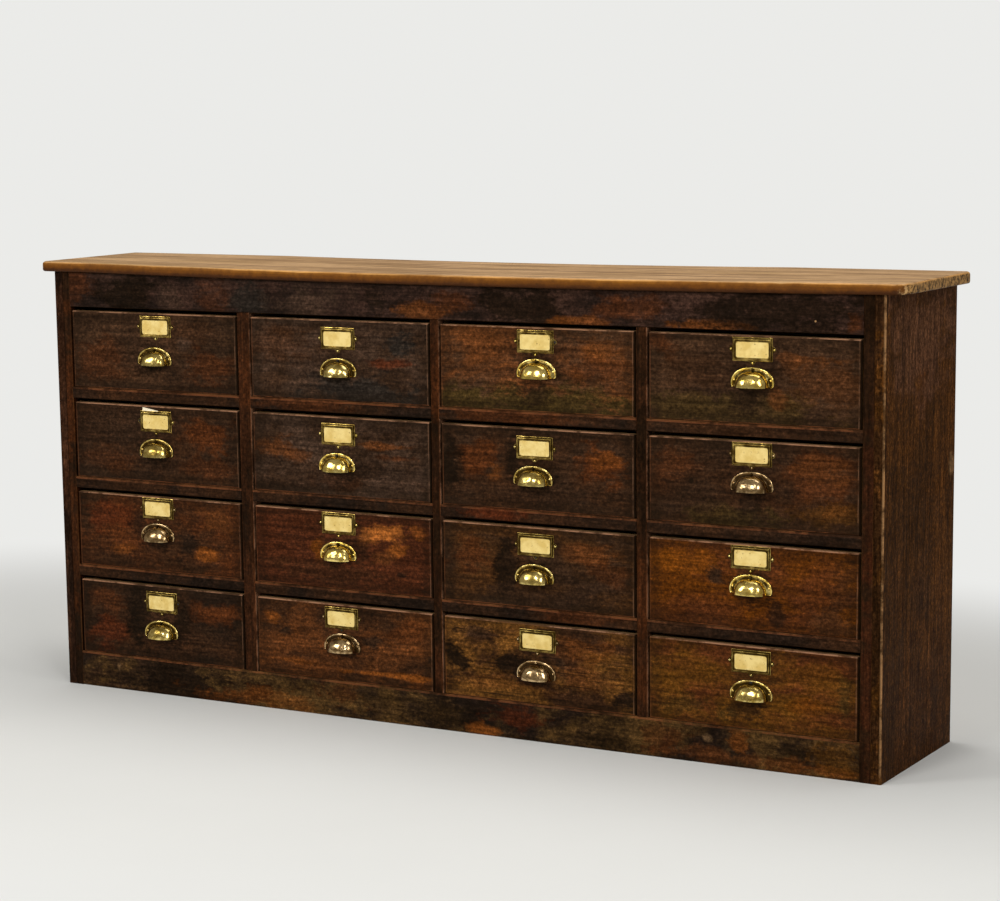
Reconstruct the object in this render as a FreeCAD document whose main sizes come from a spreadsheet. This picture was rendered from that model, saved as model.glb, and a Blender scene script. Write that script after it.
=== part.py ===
"""A bank of sixteen drawers in four rows of four, in stained pine with brass pulls and card frames.

Millimetres. Z is up, X runs along the front and the front faces -Y. The origin is on the floor,
under the middle of the whole piece's box.
"""
import FreeCAD, Part
import math
import os
import re
import Sketcher

document = FreeCAD.newDocument("bank_of_drawers")

# Driving dimensions
SIZES = {
    # carcass
    "side_thickness": 19,
    "side_depth": 347,
    "side_front_rounding": 2.5,
    "side_back_rounding": 4,
    "frame_thickness": 22,
    "frame_bevel": 1.4,
    "left_stile_width": 18,
    "right_stile_width": 21,
    "left_muntin_width": 27,
    "middle_muntin_width": 17.5,
    "right_muntin_width": 20.5,
    "bottom_rail_height": 70.5,
    "cross_rail_height": 22.5,
    "top_rail_height": 69.3,
    # top board
    "top_thickness": 21.5,
    "top_depth": 310,
    "top_front_overhang": 10.5,
    "top_left_overhang": 28,
    "top_right_overhang": 42,
    "top_left_corner_radius": 14,
    "top_right_corner_radius": 30,
    "top_back_corner_radius": 9,
    "top_upper_rounding": 5,
    "top_lower_rounding": 3,
    # inner carcass
    "partition_thickness": 15,
    "runner_height": 20,
    "runner_ledge": 14,
    "guide_height": 16,
    "guide_gap": 1,
    "back_board_thickness": 12,
    "back_board_gap": 1,
    "back_rail_thickness": 20,
    "back_rail_height": 45,
    "stop_width": 60,
    "stop_height": 30,
    "stop_depth": 10,
    "stop_rise": 40,
    "stop_gap": 0.5,
    # drawers
    "drawer_width": 399,
    "drawer_height_1": 152.5,
    "drawer_height_2": 150.5,
    "drawer_height_3": 149,
    "drawer_height_4": 148.5,
    "drawer_length": 276,
    "drawer_setback": 1,
    "drawer_side_gap": 3.5,
    "drawer_bottom_gap": 0.3,
    "drawer_top_gap": 8,
    "drawer_front_thickness": 20,
    "drawer_front_bevel": 1.6,
    "drawer_side_thickness": 11,
    "drawer_side_drop": 3,
    "drawer_back_thickness": 11,
    "drawer_back_drop": 8,
    "drawer_bottom_thickness": 6,
    "drawer_bottom_rise": 8,
    "drawer_groove_depth": 5,
    "drawer_joint_gap": 0.1,
    # lapped dovetails at the drawer's front corners
    "dovetail_lap": 6,
    "dovetail_tip_height": 28,
    "dovetail_root_height": 20,
    "dovetail_first_centre": 40,
    "dovetail_pitch": 42,
    # brass cup pull
    "pull_width": 82,
    "pull_foot_width": 73,
    "pull_height": 35,
    "pull_widest_height": 12,
    "pull_plate_thickness": 1.2,
    "pull_rim_width": 2.6,
    "pull_rim_thickness": 2.2,
    "cup_width": 62,
    "cup_height": 28.5,
    "cup_projection": 23,
    "cup_wall": 1.3,
    # stamped brass card frame
    "card_frame_width": 75,
    "card_frame_height": 41,
    "card_frame_plate": 1,
    "card_frame_ear_width": 15,
    "card_frame_ear_reach": 8,
    "card_bezel_width": 70,
    "card_bezel_height": 36.5,
    "card_bezel_thickness": 3,
    "card_bezel_lip": 0.8,
    "card_window_width": 61,
    "card_window_height": 29,
    "card_window_corner": 1.6,
    "card_window_drop": 1.2,
    # paper card
    "card_width": 64,
    "card_height": 32,
    "card_thickness": 0.5,
    "card_slack": 0.5,
    # one overrun for every cut, and how near counts as the same place
    "overrun": 10,
    "nearness": 0.01,
}
COUNTS = {"rows": 4, "columns": 4, "back_boards": 12, "dovetails": 3}

# The steps of the pull's round forms, which are few because there are sixteen pulls
PLATE_STEPS = 10
CUP_STEPS_ACROSS = 8
CUP_STEPS_DOWN = 5

# How round the plate's arch is: under 1 it is fuller than an ellipse
ARCH_POWER_SHARE = 0.877

# One side of a card frame's ear, from its base to its tip, as shares of its half width and reach
EAR_SHARES = ((1, 0), (0.72, 0.55), (0.3, 1))

# How far each pull's open edge and each card frame's middle lie below the top of its drawer, as
# shares of the drawer's height. One line for each row, one value for each column.
PULL_DROP_SHARES = (
    (0.663, 0.692, 0.595, 0.582),
    (0.658, 0.682, 0.680, 0.576),
    (0.583, 0.617, 0.683, 0.579),
    (0.698, 0.605, 0.684, 0.634),
)
FRAME_DROP_SHARES = (
    (0.170, 0.222, 0.164, 0.153),
    (0.198, 0.217, 0.230, 0.147),
    (0.148, 0.148, 0.212, 0.148),
    (0.215, 0.172, 0.201, 0.182),
)

# How far they were fitted to the right of the drawer's middle, as shares of its width
PULL_SHIFT_SHARES = (
    (0.009, 0, 0.006, 0),
    (0.002, -0.017, -0.016, 0),
    (-0.006, -0.020, -0.013, -0.004),
    (-0.002, -0.008, -0.008, 0),
)
FRAME_SHIFT_SHARES = (
    (0.017, 0, 0.001, 0),
    (0.004, -0.008, -0.007, -0.001),
    (-0.001, -0.016, -0.006, -0.005),
    (0.004, -0.011, -0.001, -0.002),
)

sheet = document.addObject("Spreadsheet::Sheet", "sizes")
for line, (alias, size) in enumerate(SIZES.items(), start=1):
    sheet.set(f"A{line}", alias)
    sheet.set(f"B{line}", str(size))
    sheet.setAlias(f"B{line}", alias)
document.recompute()


# Words of an expression that name a size are looked up in the sheet
def sheet_expression(words):
    return re.sub(r"[a-z_]+[0-9]*", lambda found: "sizes." + found[0] if found[0] in SIZES else found[0],
                  str(words))


def number(words):
    return float(sheet.evalExpression(sheet_expression(words)))


def bind(item, **expressions):
    for setting, words in expressions.items():
        item.setExpression(setting.replace("_at_", ".").replace("place", "Placement.Base"),
                           sheet_expression(words))


def place(item, x, y, z):
    bind(item, place_at_x=x, place_at_y=y, place_at_z=z)


# Drawers get a little lower from the top row down
def drawer_height(row):
    return f"drawer_height_{row + 1}"


def opening_bottom(row):
    below = [f"{drawer_height(lower)} + drawer_bottom_gap + drawer_top_gap + cross_rail_height"
             for lower in range(row + 1, COUNTS["rows"])]
    return f"({' + '.join(['bottom_rail_height', *below])})"


# Lengths and places that follow from the driving dimensions
opening_width = "(drawer_width + 2 * drawer_side_gap)"
muntin_widths = ("left_muntin_width", "middle_muntin_width", "right_muntin_width")
frame_width = f"({COUNTS['columns']} * {opening_width} + {' + '.join(muntin_widths)})"
inner_width = f"({frame_width} + left_stile_width + right_stile_width)"
carcass_width = f"({inner_width} + 2 * side_thickness)"
carcass_height = (f"({opening_bottom(0)} + {drawer_height(0)} + drawer_bottom_gap + drawer_top_gap"
                  " + top_rail_height)")
top_length = f"({carcass_width} + top_left_overhang + top_right_overhang)"
left_face = f"(top_left_overhang - {top_length} / 2)"
front_face = "((cup_projection - drawer_setback - side_depth) / 2)"
frame_back = f"({front_face} + frame_thickness)"
drawer_back_face = f"({front_face} + drawer_setback + drawer_length)"
back_board_front = f"({drawer_back_face} + stop_gap + stop_depth)"
back_rail_front = f"({back_board_front} - back_rail_thickness)"


def opening_left(column):
    passed = [f"{opening_width} + {muntin_widths[before]}" for before in range(column)]
    return f"({' + '.join([left_face, 'side_thickness', 'left_stile_width', *passed])})"


# Sketches whose corners follow the sheet
def origin_plane(body, role):
    return next(feature for feature in body.Origin.OriginFeatures if feature.Role == role)


def arc_centre(start, end, radius):
    chord = math.dist(start, end)
    middle = [(a + b) / 2 for a, b in zip(start, end)]
    height = math.sqrt(max(radius ** 2 - (chord / 2) ** 2, 0))
    return FreeCAD.Vector(middle[0] - (end[1] - start[1]) / chord * height,
                          middle[1] + (end[0] - start[0]) / chord * height, 0)


def set_size(sketch, constraint, name, words):
    index = sketch.addConstraint(constraint)
    sketch.renameConstraint(index, name)
    sketch.setExpression(f"Constraints.{name}", sheet_expression(words))


# Ties the start of one element to its place
def fix_point(sketch, element, corner):
    for kind, words, axis in (("DistanceX", corner[0], -2), ("DistanceY", corner[1], -1)):
        if words == "0":
            sketch.addConstraint(Sketcher.Constraint("PointOnObject", element, 1, axis))
            continue
        set_size(sketch, Sketcher.Constraint(kind, -1, 1, element, 1, number(words)),
                 f"{kind}_{element}", words)


# A closed outline, drawn anticlockwise. A corner is (x, y), or (x, y, radius) where a round stretch
# that bulges outwards leads to the next corner.
def add_outline(sketch, corners):
    first = sketch.GeometryCount
    points = [(number(corner[0]), number(corner[1])) for corner in corners]
    for index, corner in enumerate(corners):
        start = points[index]
        end = points[(index + 1) % len(points)]
        if not corner[2:]:
            sketch.addGeometry(Part.LineSegment(FreeCAD.Vector(*start, 0), FreeCAD.Vector(*end, 0)))
            continue
        radius = number(corner[2])
        centre = arc_centre(start, end, radius)
        angles = [math.atan2(y - centre.y, x - centre.x) for x, y in (start, end)]
        circle = Part.Circle(centre, FreeCAD.Vector(0, 0, 1), radius)
        sketch.addGeometry(Part.ArcOfCircle(circle, *angles))
    for index, corner in enumerate(corners):
        following = first + (index + 1) % len(corners)
        sketch.addConstraint(Sketcher.Constraint("Coincident", first + index, 2, following, 1))
    for index, corner in enumerate(corners):
        fix_point(sketch, first + index, corner)
        if corner[2:]:
            set_size(sketch, Sketcher.Constraint("Radius", first + index, number(corner[2])),
                     f"Radius_{first + index}", corner[2])


def new_sketch(body, name, plane, *outlines, **offsets):
    sketch = body.newObject("Sketcher::SketchObject", name)
    sketch.AttachmentSupport = (origin_plane(body, plane), "")
    sketch.MapMode = "FlatFace"
    for axis, words in offsets.items():
        sketch.setExpression(f"AttachmentOffset.Base.{axis}", sheet_expression(words))
    for corners in outlines:
        add_outline(sketch, corners)
    return sketch


def rectangle(left, bottom, right, top):
    return [(left, bottom), (right, bottom), (right, top), (left, top)]


def rounded_rectangle(left, bottom, right, top, radii):
    lower_left, lower_right, upper_right, upper_left = radii
    return [
        (f"{left} + {lower_left}", bottom),
        (f"{right} - {lower_right}", bottom, lower_right),
        (right, f"{bottom} + {lower_right}"),
        (right, f"{top} - {upper_right}", upper_right),
        (f"{right} - {upper_right}", top),
        (f"{left} + {upper_left}", top, upper_left),
        (left, f"{top} - {upper_left}"),
        (left, f"{bottom} + {lower_left}", lower_left),
    ]


# Features of a body
def new_body(name):
    return document.addObject("PartDesign::Body", name)


def sketch_feature(body, kind, sketch, length=None, reverse=False, **settings):
    feature = body.newObject(f"PartDesign::{kind}", f"{sketch.Name}_{kind.lower()}")
    feature.Profile = sketch
    feature.Reversed = reverse
    for setting, value in settings.items():
        setattr(feature, setting, value)
    if length:
        feature.setExpression("Length", sheet_expression(length))
    sketch.Visibility = False
    return feature


def wanted_edges(base, wanted):
    document.recompute()
    return (base, [f"Edge{index}" for index, edge in enumerate(base.Shape.Edges, start=1) if wanted(edge)])


def round_edges(body, base, radius, wanted):
    fillet = body.newObject("PartDesign::Fillet", f"{base.Name}_rounding")
    fillet.Base = wanted_edges(base, wanted)
    fillet.setExpression("Radius", sheet_expression(radius))
    return fillet


def bevel_edges(body, base, size, wanted):
    chamfer = body.newObject("PartDesign::Chamfer", f"{base.Name}_bevel")
    chamfer.Base = wanted_edges(base, wanted)
    chamfer.setExpression("Size", sheet_expression(size))
    return chamfer


def lies_at(edge, axis, level):
    low = getattr(edge.BoundBox, f"{axis}Min")
    high = getattr(edge.BoundBox, f"{axis}Max")
    return abs(low - level) < number("nearness") and abs(high - level) < number("nearness")


def runs_along(edge, axis):
    return abs(getattr(edge.BoundBox, f"{axis}Length") - edge.Length) < number("nearness")


# A plain board: a block with its near lower left corner at a place
def board(name, length, depth, height, x, y, z):
    block = document.addObject("Part::Box", name)
    bind(block, Length=length, Width=depth, Height=height)
    place(block, x, y, z)
    return block


# A board of the face frame, its front long edges worn to a small bevel
def frame_board(name, length, height, x, z, along):
    body = new_body(name)
    block = body.newObject("PartDesign::AdditiveBox", f"{name}_block")
    bind(block, Length=length, Width="frame_thickness", Height=height)
    document.recompute()
    level = block.Shape.BoundBox.YMin
    bevel_edges(body, block, "frame_bevel",
                lambda edge: lies_at(edge, "Y", level) and runs_along(edge, along))
    place(body, x, front_face, z)
    return body


def group(name, members):
    compound = document.addObject("Part::Compound", name)
    compound.Links = members
    return compound


def placed(name, member, x, y, z):
    copy = group(name, [member])
    place(copy, x, y, z)
    return copy


# Top board: its long front edges are worn round, and then its corners are cut round in plan
def make_top_board():
    body = new_body("top_board")
    ends = f"(-{top_length} / 2)", f"({top_length} / 2)"
    plank = new_sketch(body, "top_plank", "XY_Plane", rectangle(ends[0], "0", ends[1], "top_depth"))
    pad = sketch_feature(body, "Pad", plank, "top_thickness")
    document.recompute()
    near, low, high = pad.Shape.BoundBox.YMin, pad.Shape.BoundBox.ZMin, pad.Shape.BoundBox.ZMax
    upper = round_edges(body, pad, "top_upper_rounding",
                        lambda edge: lies_at(edge, "Y", near) and lies_at(edge, "Z", high))
    round_edges(body, upper, "top_lower_rounding",
                lambda edge: lies_at(edge, "Y", near) and lies_at(edge, "Z", low))
    corners = ("top_left_corner_radius", "top_right_corner_radius", "top_back_corner_radius",
               "top_back_corner_radius")
    around = rectangle(f"({ends[0]} - overrun)", "(-overrun)", f"({ends[1]} + overrun)",
                       "(top_depth + overrun)")
    kept = rounded_rectangle(ends[0], "0", ends[1], "top_depth", corners)
    trim = new_sketch(body, "top_corners", "XY_Plane", around, kept)
    sketch_feature(body, "Pocket", trim, "(top_thickness + overrun)", reverse=True)
    place(body, "0", f"({front_face} - top_front_overhang)", carcass_height)
    return body


# Side panel, with its outer upright edges worn round
def make_side(name, x, outer_is_left):
    body = new_body(name)
    block = body.newObject("PartDesign::AdditiveBox", f"{name}_block")
    bind(block, Length="side_thickness", Width="side_depth", Height=carcass_height)
    document.recompute()
    box = block.Shape.BoundBox
    outer = box.XMin if outer_is_left else box.XMax
    near, far = box.YMin, box.YMax
    front = round_edges(body, block, "side_front_rounding", lambda edge: runs_along(edge, "Z")
                        and lies_at(edge, "X", outer) and lies_at(edge, "Y", near))
    round_edges(body, front, "side_back_rounding", lambda edge: runs_along(edge, "Z")
                and lies_at(edge, "X", outer) and lies_at(edge, "Y", far))
    place(body, x, front_face, "0")
    return body


def make_stiles():
    left_x = f"({left_face} + side_thickness)"
    right_x = f"({left_x} + left_stile_width + {frame_width})"
    return group("stiles", [
        frame_board("left_stile", "left_stile_width", carcass_height, left_x, "0", "Z"),
        frame_board("right_stile", "right_stile_width", carcass_height, right_x, "0", "Z"),
    ])


def make_muntins():
    height = f"({carcass_height} - bottom_rail_height - top_rail_height)"
    return group("muntins", [
        frame_board(f"muntin_{column + 1}", width, height,
                    f"({opening_left(column)} + {opening_width})", "bottom_rail_height", "Z")
        for column, width in enumerate(muntin_widths)
    ])


def make_cross_rails():
    return group("cross_rails", [
        frame_board(f"cross_rail_{row + 1}_{column + 1}", opening_width, "cross_rail_height",
                    opening_left(column), f"({opening_bottom(row)} - cross_rail_height)", "X")
        for row in range(COUNTS["rows"] - 1) for column in range(COUNTS["columns"])
    ])


# Partition behind a muntin, notched at the back for the two back rails
def make_partition(column):
    body = new_body(f"partition_{column + 1}")
    deep = f"({back_board_front} - {frame_back})"
    notched = f"({deep} - back_rail_thickness)"
    high = carcass_height
    sketch = new_sketch(body, f"partition_{column + 1}_outline", "YZ_Plane", [
        ("0", "0"), (notched, "0"), (notched, "back_rail_height"), (deep, "back_rail_height"),
        (deep, f"({high} - back_rail_height)"), (notched, f"({high} - back_rail_height)"),
        (notched, high), ("0", high),
    ])
    sketch_feature(body, "Pad", sketch, "partition_thickness")
    middle = f"({opening_left(column)} + {opening_width} + {muntin_widths[column]} / 2)"
    place(body, f"({middle} - partition_thickness / 2)", frame_back, "0")
    return body


# Runner: an L-shaped strip whose ledge carries a drawer side and whose upright guides it
def make_runner(name, guide_width, faces_right):
    body = new_body(name)
    turn = "1" if faces_right else "(-1)"
    across = [("0", "0"), (f"{turn} * ({guide_width} + runner_ledge)", "0"),
              (f"{turn} * ({guide_width} + runner_ledge)", "runner_height"),
              (f"{turn} * {guide_width}", "runner_height"),
              (f"{turn} * {guide_width}", "(runner_height + guide_height)"),
              ("0", "(runner_height + guide_height)")]
    sketch = new_sketch(body, f"{name}_section", "XZ_Plane", across if faces_right else across[::-1])
    sketch_feature(body, "Pad", sketch, f"({back_board_front} - {frame_back})", reverse=True)
    return body


def make_runners():
    stiles_and_muntins = ("left_stile_width", *muntin_widths, "right_stile_width")
    spare = "drawer_side_gap - guide_gap"
    strips = []
    for column in range(COUNTS["columns"]):
        left_width = stiles_and_muntins[column]
        right_width = stiles_and_muntins[column + 1]
        left_guide = f"({left_width} + {spare})" if column == 0 else (
            f"(({left_width} - partition_thickness) / 2 + {spare})")
        right_guide = f"({right_width} + {spare})" if column == COUNTS["columns"] - 1 else (
            f"(({right_width} - partition_thickness) / 2 + {spare})")
        left_x = f"({opening_left(column)} + {spare} - {left_guide})"
        right_x = f"({opening_left(column)} + {opening_width} - ({spare}) + {right_guide})"
        left_strip = make_runner(f"left_runner_{column + 1}", left_guide, True)
        right_strip = make_runner(f"right_runner_{column + 1}", right_guide, False)
        for row in range(COUNTS["rows"]):
            z = f"({opening_bottom(row)} - runner_height)"
            here = f"{row + 1}_{column + 1}"
            strips.append(placed(f"left_runner_at_{here}", left_strip, left_x, frame_back, z))
            strips.append(placed(f"right_runner_at_{here}", right_strip, right_x, frame_back, z))
            strips.append(make_stop(row, column))
    return group("runners_and_stops", strips)


# Stop block on the back boards, which the drawer's back meets
def make_stop(row, column):
    x = f"({opening_left(column)} + {opening_width} / 2 - stop_width / 2)"
    return board(f"stop_{row + 1}_{column + 1}", "stop_width", "stop_depth", "stop_height",
                 x, f"({drawer_back_face} + stop_gap)", f"({opening_bottom(row)} + stop_rise)")


def make_back_boards():
    count = COUNTS["back_boards"]
    pitch = f"(({inner_width} + back_board_gap) / {count})"
    return group("back_boards", [
        board(f"back_board_{index + 1}", f"({pitch} - back_board_gap)", "back_board_thickness",
              carcass_height, f"({left_face} + side_thickness + {index} * {pitch})",
              back_board_front, "0")
        for index in range(count)
    ])


def make_back_rails():
    heights = {"bottom": "0", "top": f"({carcass_height} - back_rail_height)"}
    return group("back_rails", [
        board(f"{name}_back_rail", inner_width, "back_rail_thickness", "back_rail_height",
              f"({left_face} + side_thickness)", back_rail_front, z)
        for name, z in heights.items()
    ])


# Drawer pieces, about the middle of the drawer's lower front edge
half_drawer = "(drawer_width / 2)"


def dovetail(index):
    middle = f"(dovetail_first_centre + {index} * dovetail_pitch)"
    tip = f"({middle} - dovetail_tip_height / 2)", f"({middle} + dovetail_tip_height / 2)"
    root = f"({middle} - dovetail_root_height / 2)", f"({middle} + dovetail_root_height / 2)"
    return tip, root


# Front: sockets for the tails in both ends and a groove for the bottom, each with the joints' gap
def make_drawer_front(row):
    body = new_body(f"drawer_front_{row + 1}")
    face = new_sketch(body, f"front_face_{row + 1}", "XZ_Plane",
                      rectangle(f"(-{half_drawer})", "0", half_drawer, drawer_height(row)))
    pad = sketch_feature(body, "Pad", face, "drawer_front_thickness", reverse=True)
    document.recompute()
    near = pad.Shape.BoundBox.YMin
    bevel_edges(body, pad, "drawer_front_bevel", lambda edge: lies_at(edge, "Y", near))
    sockets = []
    for index in range(COUNTS["dovetails"]):
        tip, root = dovetail(index)
        deep = "(dovetail_lap - drawer_joint_gap)"
        sockets.append([(deep, f"({tip[0]} - drawer_joint_gap)"),
                        ("drawer_front_thickness", f"({root[0]} - drawer_joint_gap)"),
                        ("drawer_front_thickness", f"({root[1]} + drawer_joint_gap)"),
                        (deep, f"({tip[1]} + drawer_joint_gap)")])
    cut = new_sketch(body, f"front_sockets_{row + 1}", "YZ_Plane", *sockets, z=f"(-{half_drawer})")
    pocket = sketch_feature(body, "Pocket", cut, "(drawer_side_thickness + drawer_joint_gap)", reverse=True)
    mirror = body.newObject("PartDesign::Mirrored", f"front_sockets_mirrored_{row + 1}")
    mirror.Originals = [pocket]
    mirror.MirrorPlane = (origin_plane(body, "YZ_Plane"), [""])
    body.Tip = mirror
    groove_end = f"({half_drawer} - drawer_side_thickness + drawer_groove_depth)"
    groove = new_sketch(body, f"front_groove_{row + 1}", "XZ_Plane", rectangle(
        f"(-{groove_end})", "drawer_bottom_rise", groove_end,
        "(drawer_bottom_rise + drawer_bottom_thickness)"), z="(-drawer_front_thickness)")
    sketch_feature(body, "Pocket", groove, "drawer_groove_depth", reverse=True)
    return body


# Side: a board with the tails on its front end and a groove for the bottom
def make_drawer_side(row):
    body = new_body(f"drawer_left_side_{row + 1}")
    high = f"({drawer_height(row)} - drawer_side_drop)"
    shoulder = "(drawer_front_thickness + drawer_joint_gap)"
    corners = [(shoulder, "0"), ("drawer_length", "0"), ("drawer_length", high), (shoulder, high)]
    for index in reversed(range(COUNTS["dovetails"])):
        tip, root = dovetail(index)
        corners += [(shoulder, root[1]), ("dovetail_lap", tip[1]), ("dovetail_lap", tip[0]),
                    (shoulder, root[0])]
    outline = new_sketch(body, f"side_outline_{row + 1}", "YZ_Plane", corners, z=f"(-{half_drawer})")
    sketch_feature(body, "Pad", outline, "drawer_side_thickness")
    groove = new_sketch(body, f"side_groove_{row + 1}", "YZ_Plane", rectangle(
        shoulder, "drawer_bottom_rise", "(drawer_length + overrun)",
        "(drawer_bottom_rise + drawer_bottom_thickness)"),
        z=f"(drawer_side_thickness - {half_drawer})")
    sketch_feature(body, "Pocket", groove, "drawer_groove_depth")
    return body


def make_drawer_parts(row):
    left = make_drawer_side(row)
    right = document.addObject("Part::Mirroring", f"drawer_right_side_{row + 1}")
    right.Source = left
    right.Normal = (1, 0, 0)
    clear = f"({half_drawer} - drawer_side_thickness - drawer_joint_gap)"
    over_bottom = "(drawer_bottom_rise + drawer_bottom_thickness + drawer_joint_gap)"
    back = board(f"drawer_back_{row + 1}", f"(2 * {clear})", "drawer_back_thickness",
                 f"({drawer_height(row)} - drawer_back_drop - {over_bottom})", f"(-{clear})",
                 "(drawer_length - drawer_back_thickness - drawer_joint_gap)", over_bottom)
    edge = f"({clear} + drawer_groove_depth)"
    start = "(drawer_front_thickness - drawer_groove_depth + drawer_joint_gap)"
    bottom = board(f"drawer_bottom_{row + 1}", f"(2 * {edge})",
                   f"(drawer_length - {start} - 2 * drawer_joint_gap)",
                   "(drawer_bottom_thickness - 2 * drawer_joint_gap)", f"(-{edge})", start,
                   "(drawer_bottom_rise + drawer_joint_gap)")
    return [make_drawer_front(row), left, right, back, bottom]


# Cup pull. Its plate is half of a superellipse above the widest level and tapers to the feet below.
def plate_arch(inset):
    half_width = f"(pull_width / 2 - {inset})"
    rise = f"(pull_height - pull_widest_height - {inset})"
    arch = []
    for step in range(PLATE_STEPS + 1):
        turn = 180 * step / PLATE_STEPS
        across = math.copysign(abs(math.cos(math.radians(turn))) ** ARCH_POWER_SHARE, 90 - turn)
        up = math.sin(math.radians(turn)) ** ARCH_POWER_SHARE
        arch.append((f"({across:.5f} * {half_width})", f"(pull_widest_height + {up:.5f} * {rise})"))
    foot = f"(pull_foot_width / 2 - {inset})"
    return [(foot, "0"), *arch, (f"(-{foot})", "0")]


# A point of the cup: a quarter of an ellipsoid, whose turn across runs from one end to the other and
# whose turn down runs from the plate to the open edge
def cup_point(inset, across, down):
    across_turn = math.pi * across / CUP_STEPS_ACROSS
    down_turn = math.pi / 2 * down / CUP_STEPS_DOWN
    half_width, height, reach = (number(words) - inset for words in ("cup_width / 2", "cup_height",
                                                                     "cup_projection"))
    return FreeCAD.Vector(half_width * math.cos(across_turn),
                          -reach * math.sin(across_turn) * math.sin(down_turn),
                          height * math.sin(across_turn) * math.cos(down_turn))


def flat_face(points):
    distinct = [point for index, point in enumerate(points)
                if (point - points[index - 1]).Length > number("nearness")]
    return Part.Face(Part.makePolygon(distinct + distinct[:1]))


# Cup: flat faces between the points of an outer and an inner quarter ellipsoid
def make_cup():
    faces = []
    for inset in (0, number("cup_wall")):
        for across in range(CUP_STEPS_ACROSS):
            for down in range(CUP_STEPS_DOWN):
                faces.append(flat_face([cup_point(inset, across, down),
                                        cup_point(inset, across + 1, down),
                                        cup_point(inset, across + 1, down + 1),
                                        cup_point(inset, across, down + 1)]))
    for down in (0, CUP_STEPS_DOWN):
        outer = [cup_point(0, across, down) for across in range(CUP_STEPS_ACROSS + 1)]
        inner = [cup_point(number("cup_wall"), across, down) for across in range(CUP_STEPS_ACROSS + 1)]
        faces.append(flat_face(outer + inner[::-1]))
    shell = Part.makeShell(faces)
    shell.sewShape()
    solid = Part.makeSolid(shell)
    if solid.Volume < 0:
        solid.reverse()
    cup = document.addObject("Part::Feature", "pull_cup")
    cup.Shape = solid
    return cup


# The plate leaves the cup open behind, and its raised rim follows the arch
def make_pull():
    body = new_body("pull_plate_body")
    opening = []
    for step in range(CUP_STEPS_ACROSS + 1):
        turn = 180 * step / CUP_STEPS_ACROSS
        opening.append((f"({-math.cos(math.radians(turn)):.5f} * (cup_width / 2 - cup_wall))",
                        f"({math.sin(math.radians(turn)):.5f} * (cup_height - cup_wall))"))
    opening[0] = (opening[0][0], "0")
    opening[-1] = (opening[-1][0], "0")
    plate = new_sketch(body, "pull_plate", "XZ_Plane", plate_arch("0") + opening)
    sketch_feature(body, "Pad", plate, "pull_plate_thickness")
    rim = new_sketch(body, "pull_rim", "XZ_Plane", plate_arch("0") + plate_arch("pull_rim_width")[::-1])
    sketch_feature(body, "Pad", rim, "pull_rim_thickness")
    pull = document.addObject("Part::Fuse", "cup_pull")
    pull.Base = body
    pull.Tool = make_cup()
    pull.Refine = True
    return pull


# Card frame: a thin plate with three ears, and a raised bezel that holds the card from the front
def frame_ear(out_x, out_z):
    half_width = "(card_frame_ear_width / 2)"
    corners = [*EAR_SHARES, *[(-along, out) for along, out in EAR_SHARES[::-1]]]
    edge = "(card_frame_width / 2)" if out_x else "(card_frame_height / 2)"
    ear = []
    for along, out in corners:
        reach = f"({edge} + {out} * card_frame_ear_reach)"
        if out_x:
            ear.append((f"({out_x} * {reach})", f"({-out_x * along} * {half_width})"))
        else:
            ear.append((f"({out_z * along} * {half_width})", f"({out_z} * {reach})"))
    return ear


def centred(width, height, drop="0"):
    return rectangle(f"(-{width} / 2)", f"(-{drop} - {height} / 2)", f"({width} / 2)",
                     f"({height} / 2 - {drop})")


def window_outline():
    right, up, corner = "(card_window_width / 2)", "(card_window_height / 2)", "card_window_corner"
    low, high = f"(-{up} - card_window_drop)", f"({up} - card_window_drop)"
    return [(f"({corner} - {right})", low), (f"({right} - {corner})", low),
            (right, f"({low} + {corner})"), (right, f"({high} - {corner})"),
            (f"({right} - {corner})", high), (f"({corner} - {right})", high),
            (f"(-{right})", f"({high} - {corner})"), (f"(-{right})", f"({low} + {corner})")]


def make_card_frame():
    body = new_body("card_frame")
    out, up = "(card_frame_width / 2)", "(card_frame_height / 2)"
    corners = [(f"(-{out})", f"(-{up})"), *frame_ear(0, -1), (out, f"(-{up})"), *frame_ear(1, 0),
               (out, up), (f"(-{out})", up), *frame_ear(-1, 0)]
    plate = new_sketch(body, "frame_plate", "XZ_Plane", corners)
    sketch_feature(body, "Pad", plate, "card_frame_plate")
    bezel = new_sketch(body, "frame_bezel", "XZ_Plane", centred("card_bezel_width", "card_bezel_height"))
    sketch_feature(body, "Pad", bezel, "card_bezel_thickness")
    space_width, space_height = "(card_width + 2 * card_slack)", "(card_height + 2 * card_slack)"
    slot = new_sketch(body, "card_space", "XZ_Plane", centred(space_width, space_height, "card_window_drop"))
    sketch_feature(body, "Pocket", slot, "(card_bezel_thickness - card_bezel_lip)", reverse=True)
    window = new_sketch(body, "frame_window", "XZ_Plane", window_outline())
    sketch_feature(body, "Pocket", window, "(card_bezel_thickness + overrun)", reverse=True)
    return body


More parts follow.
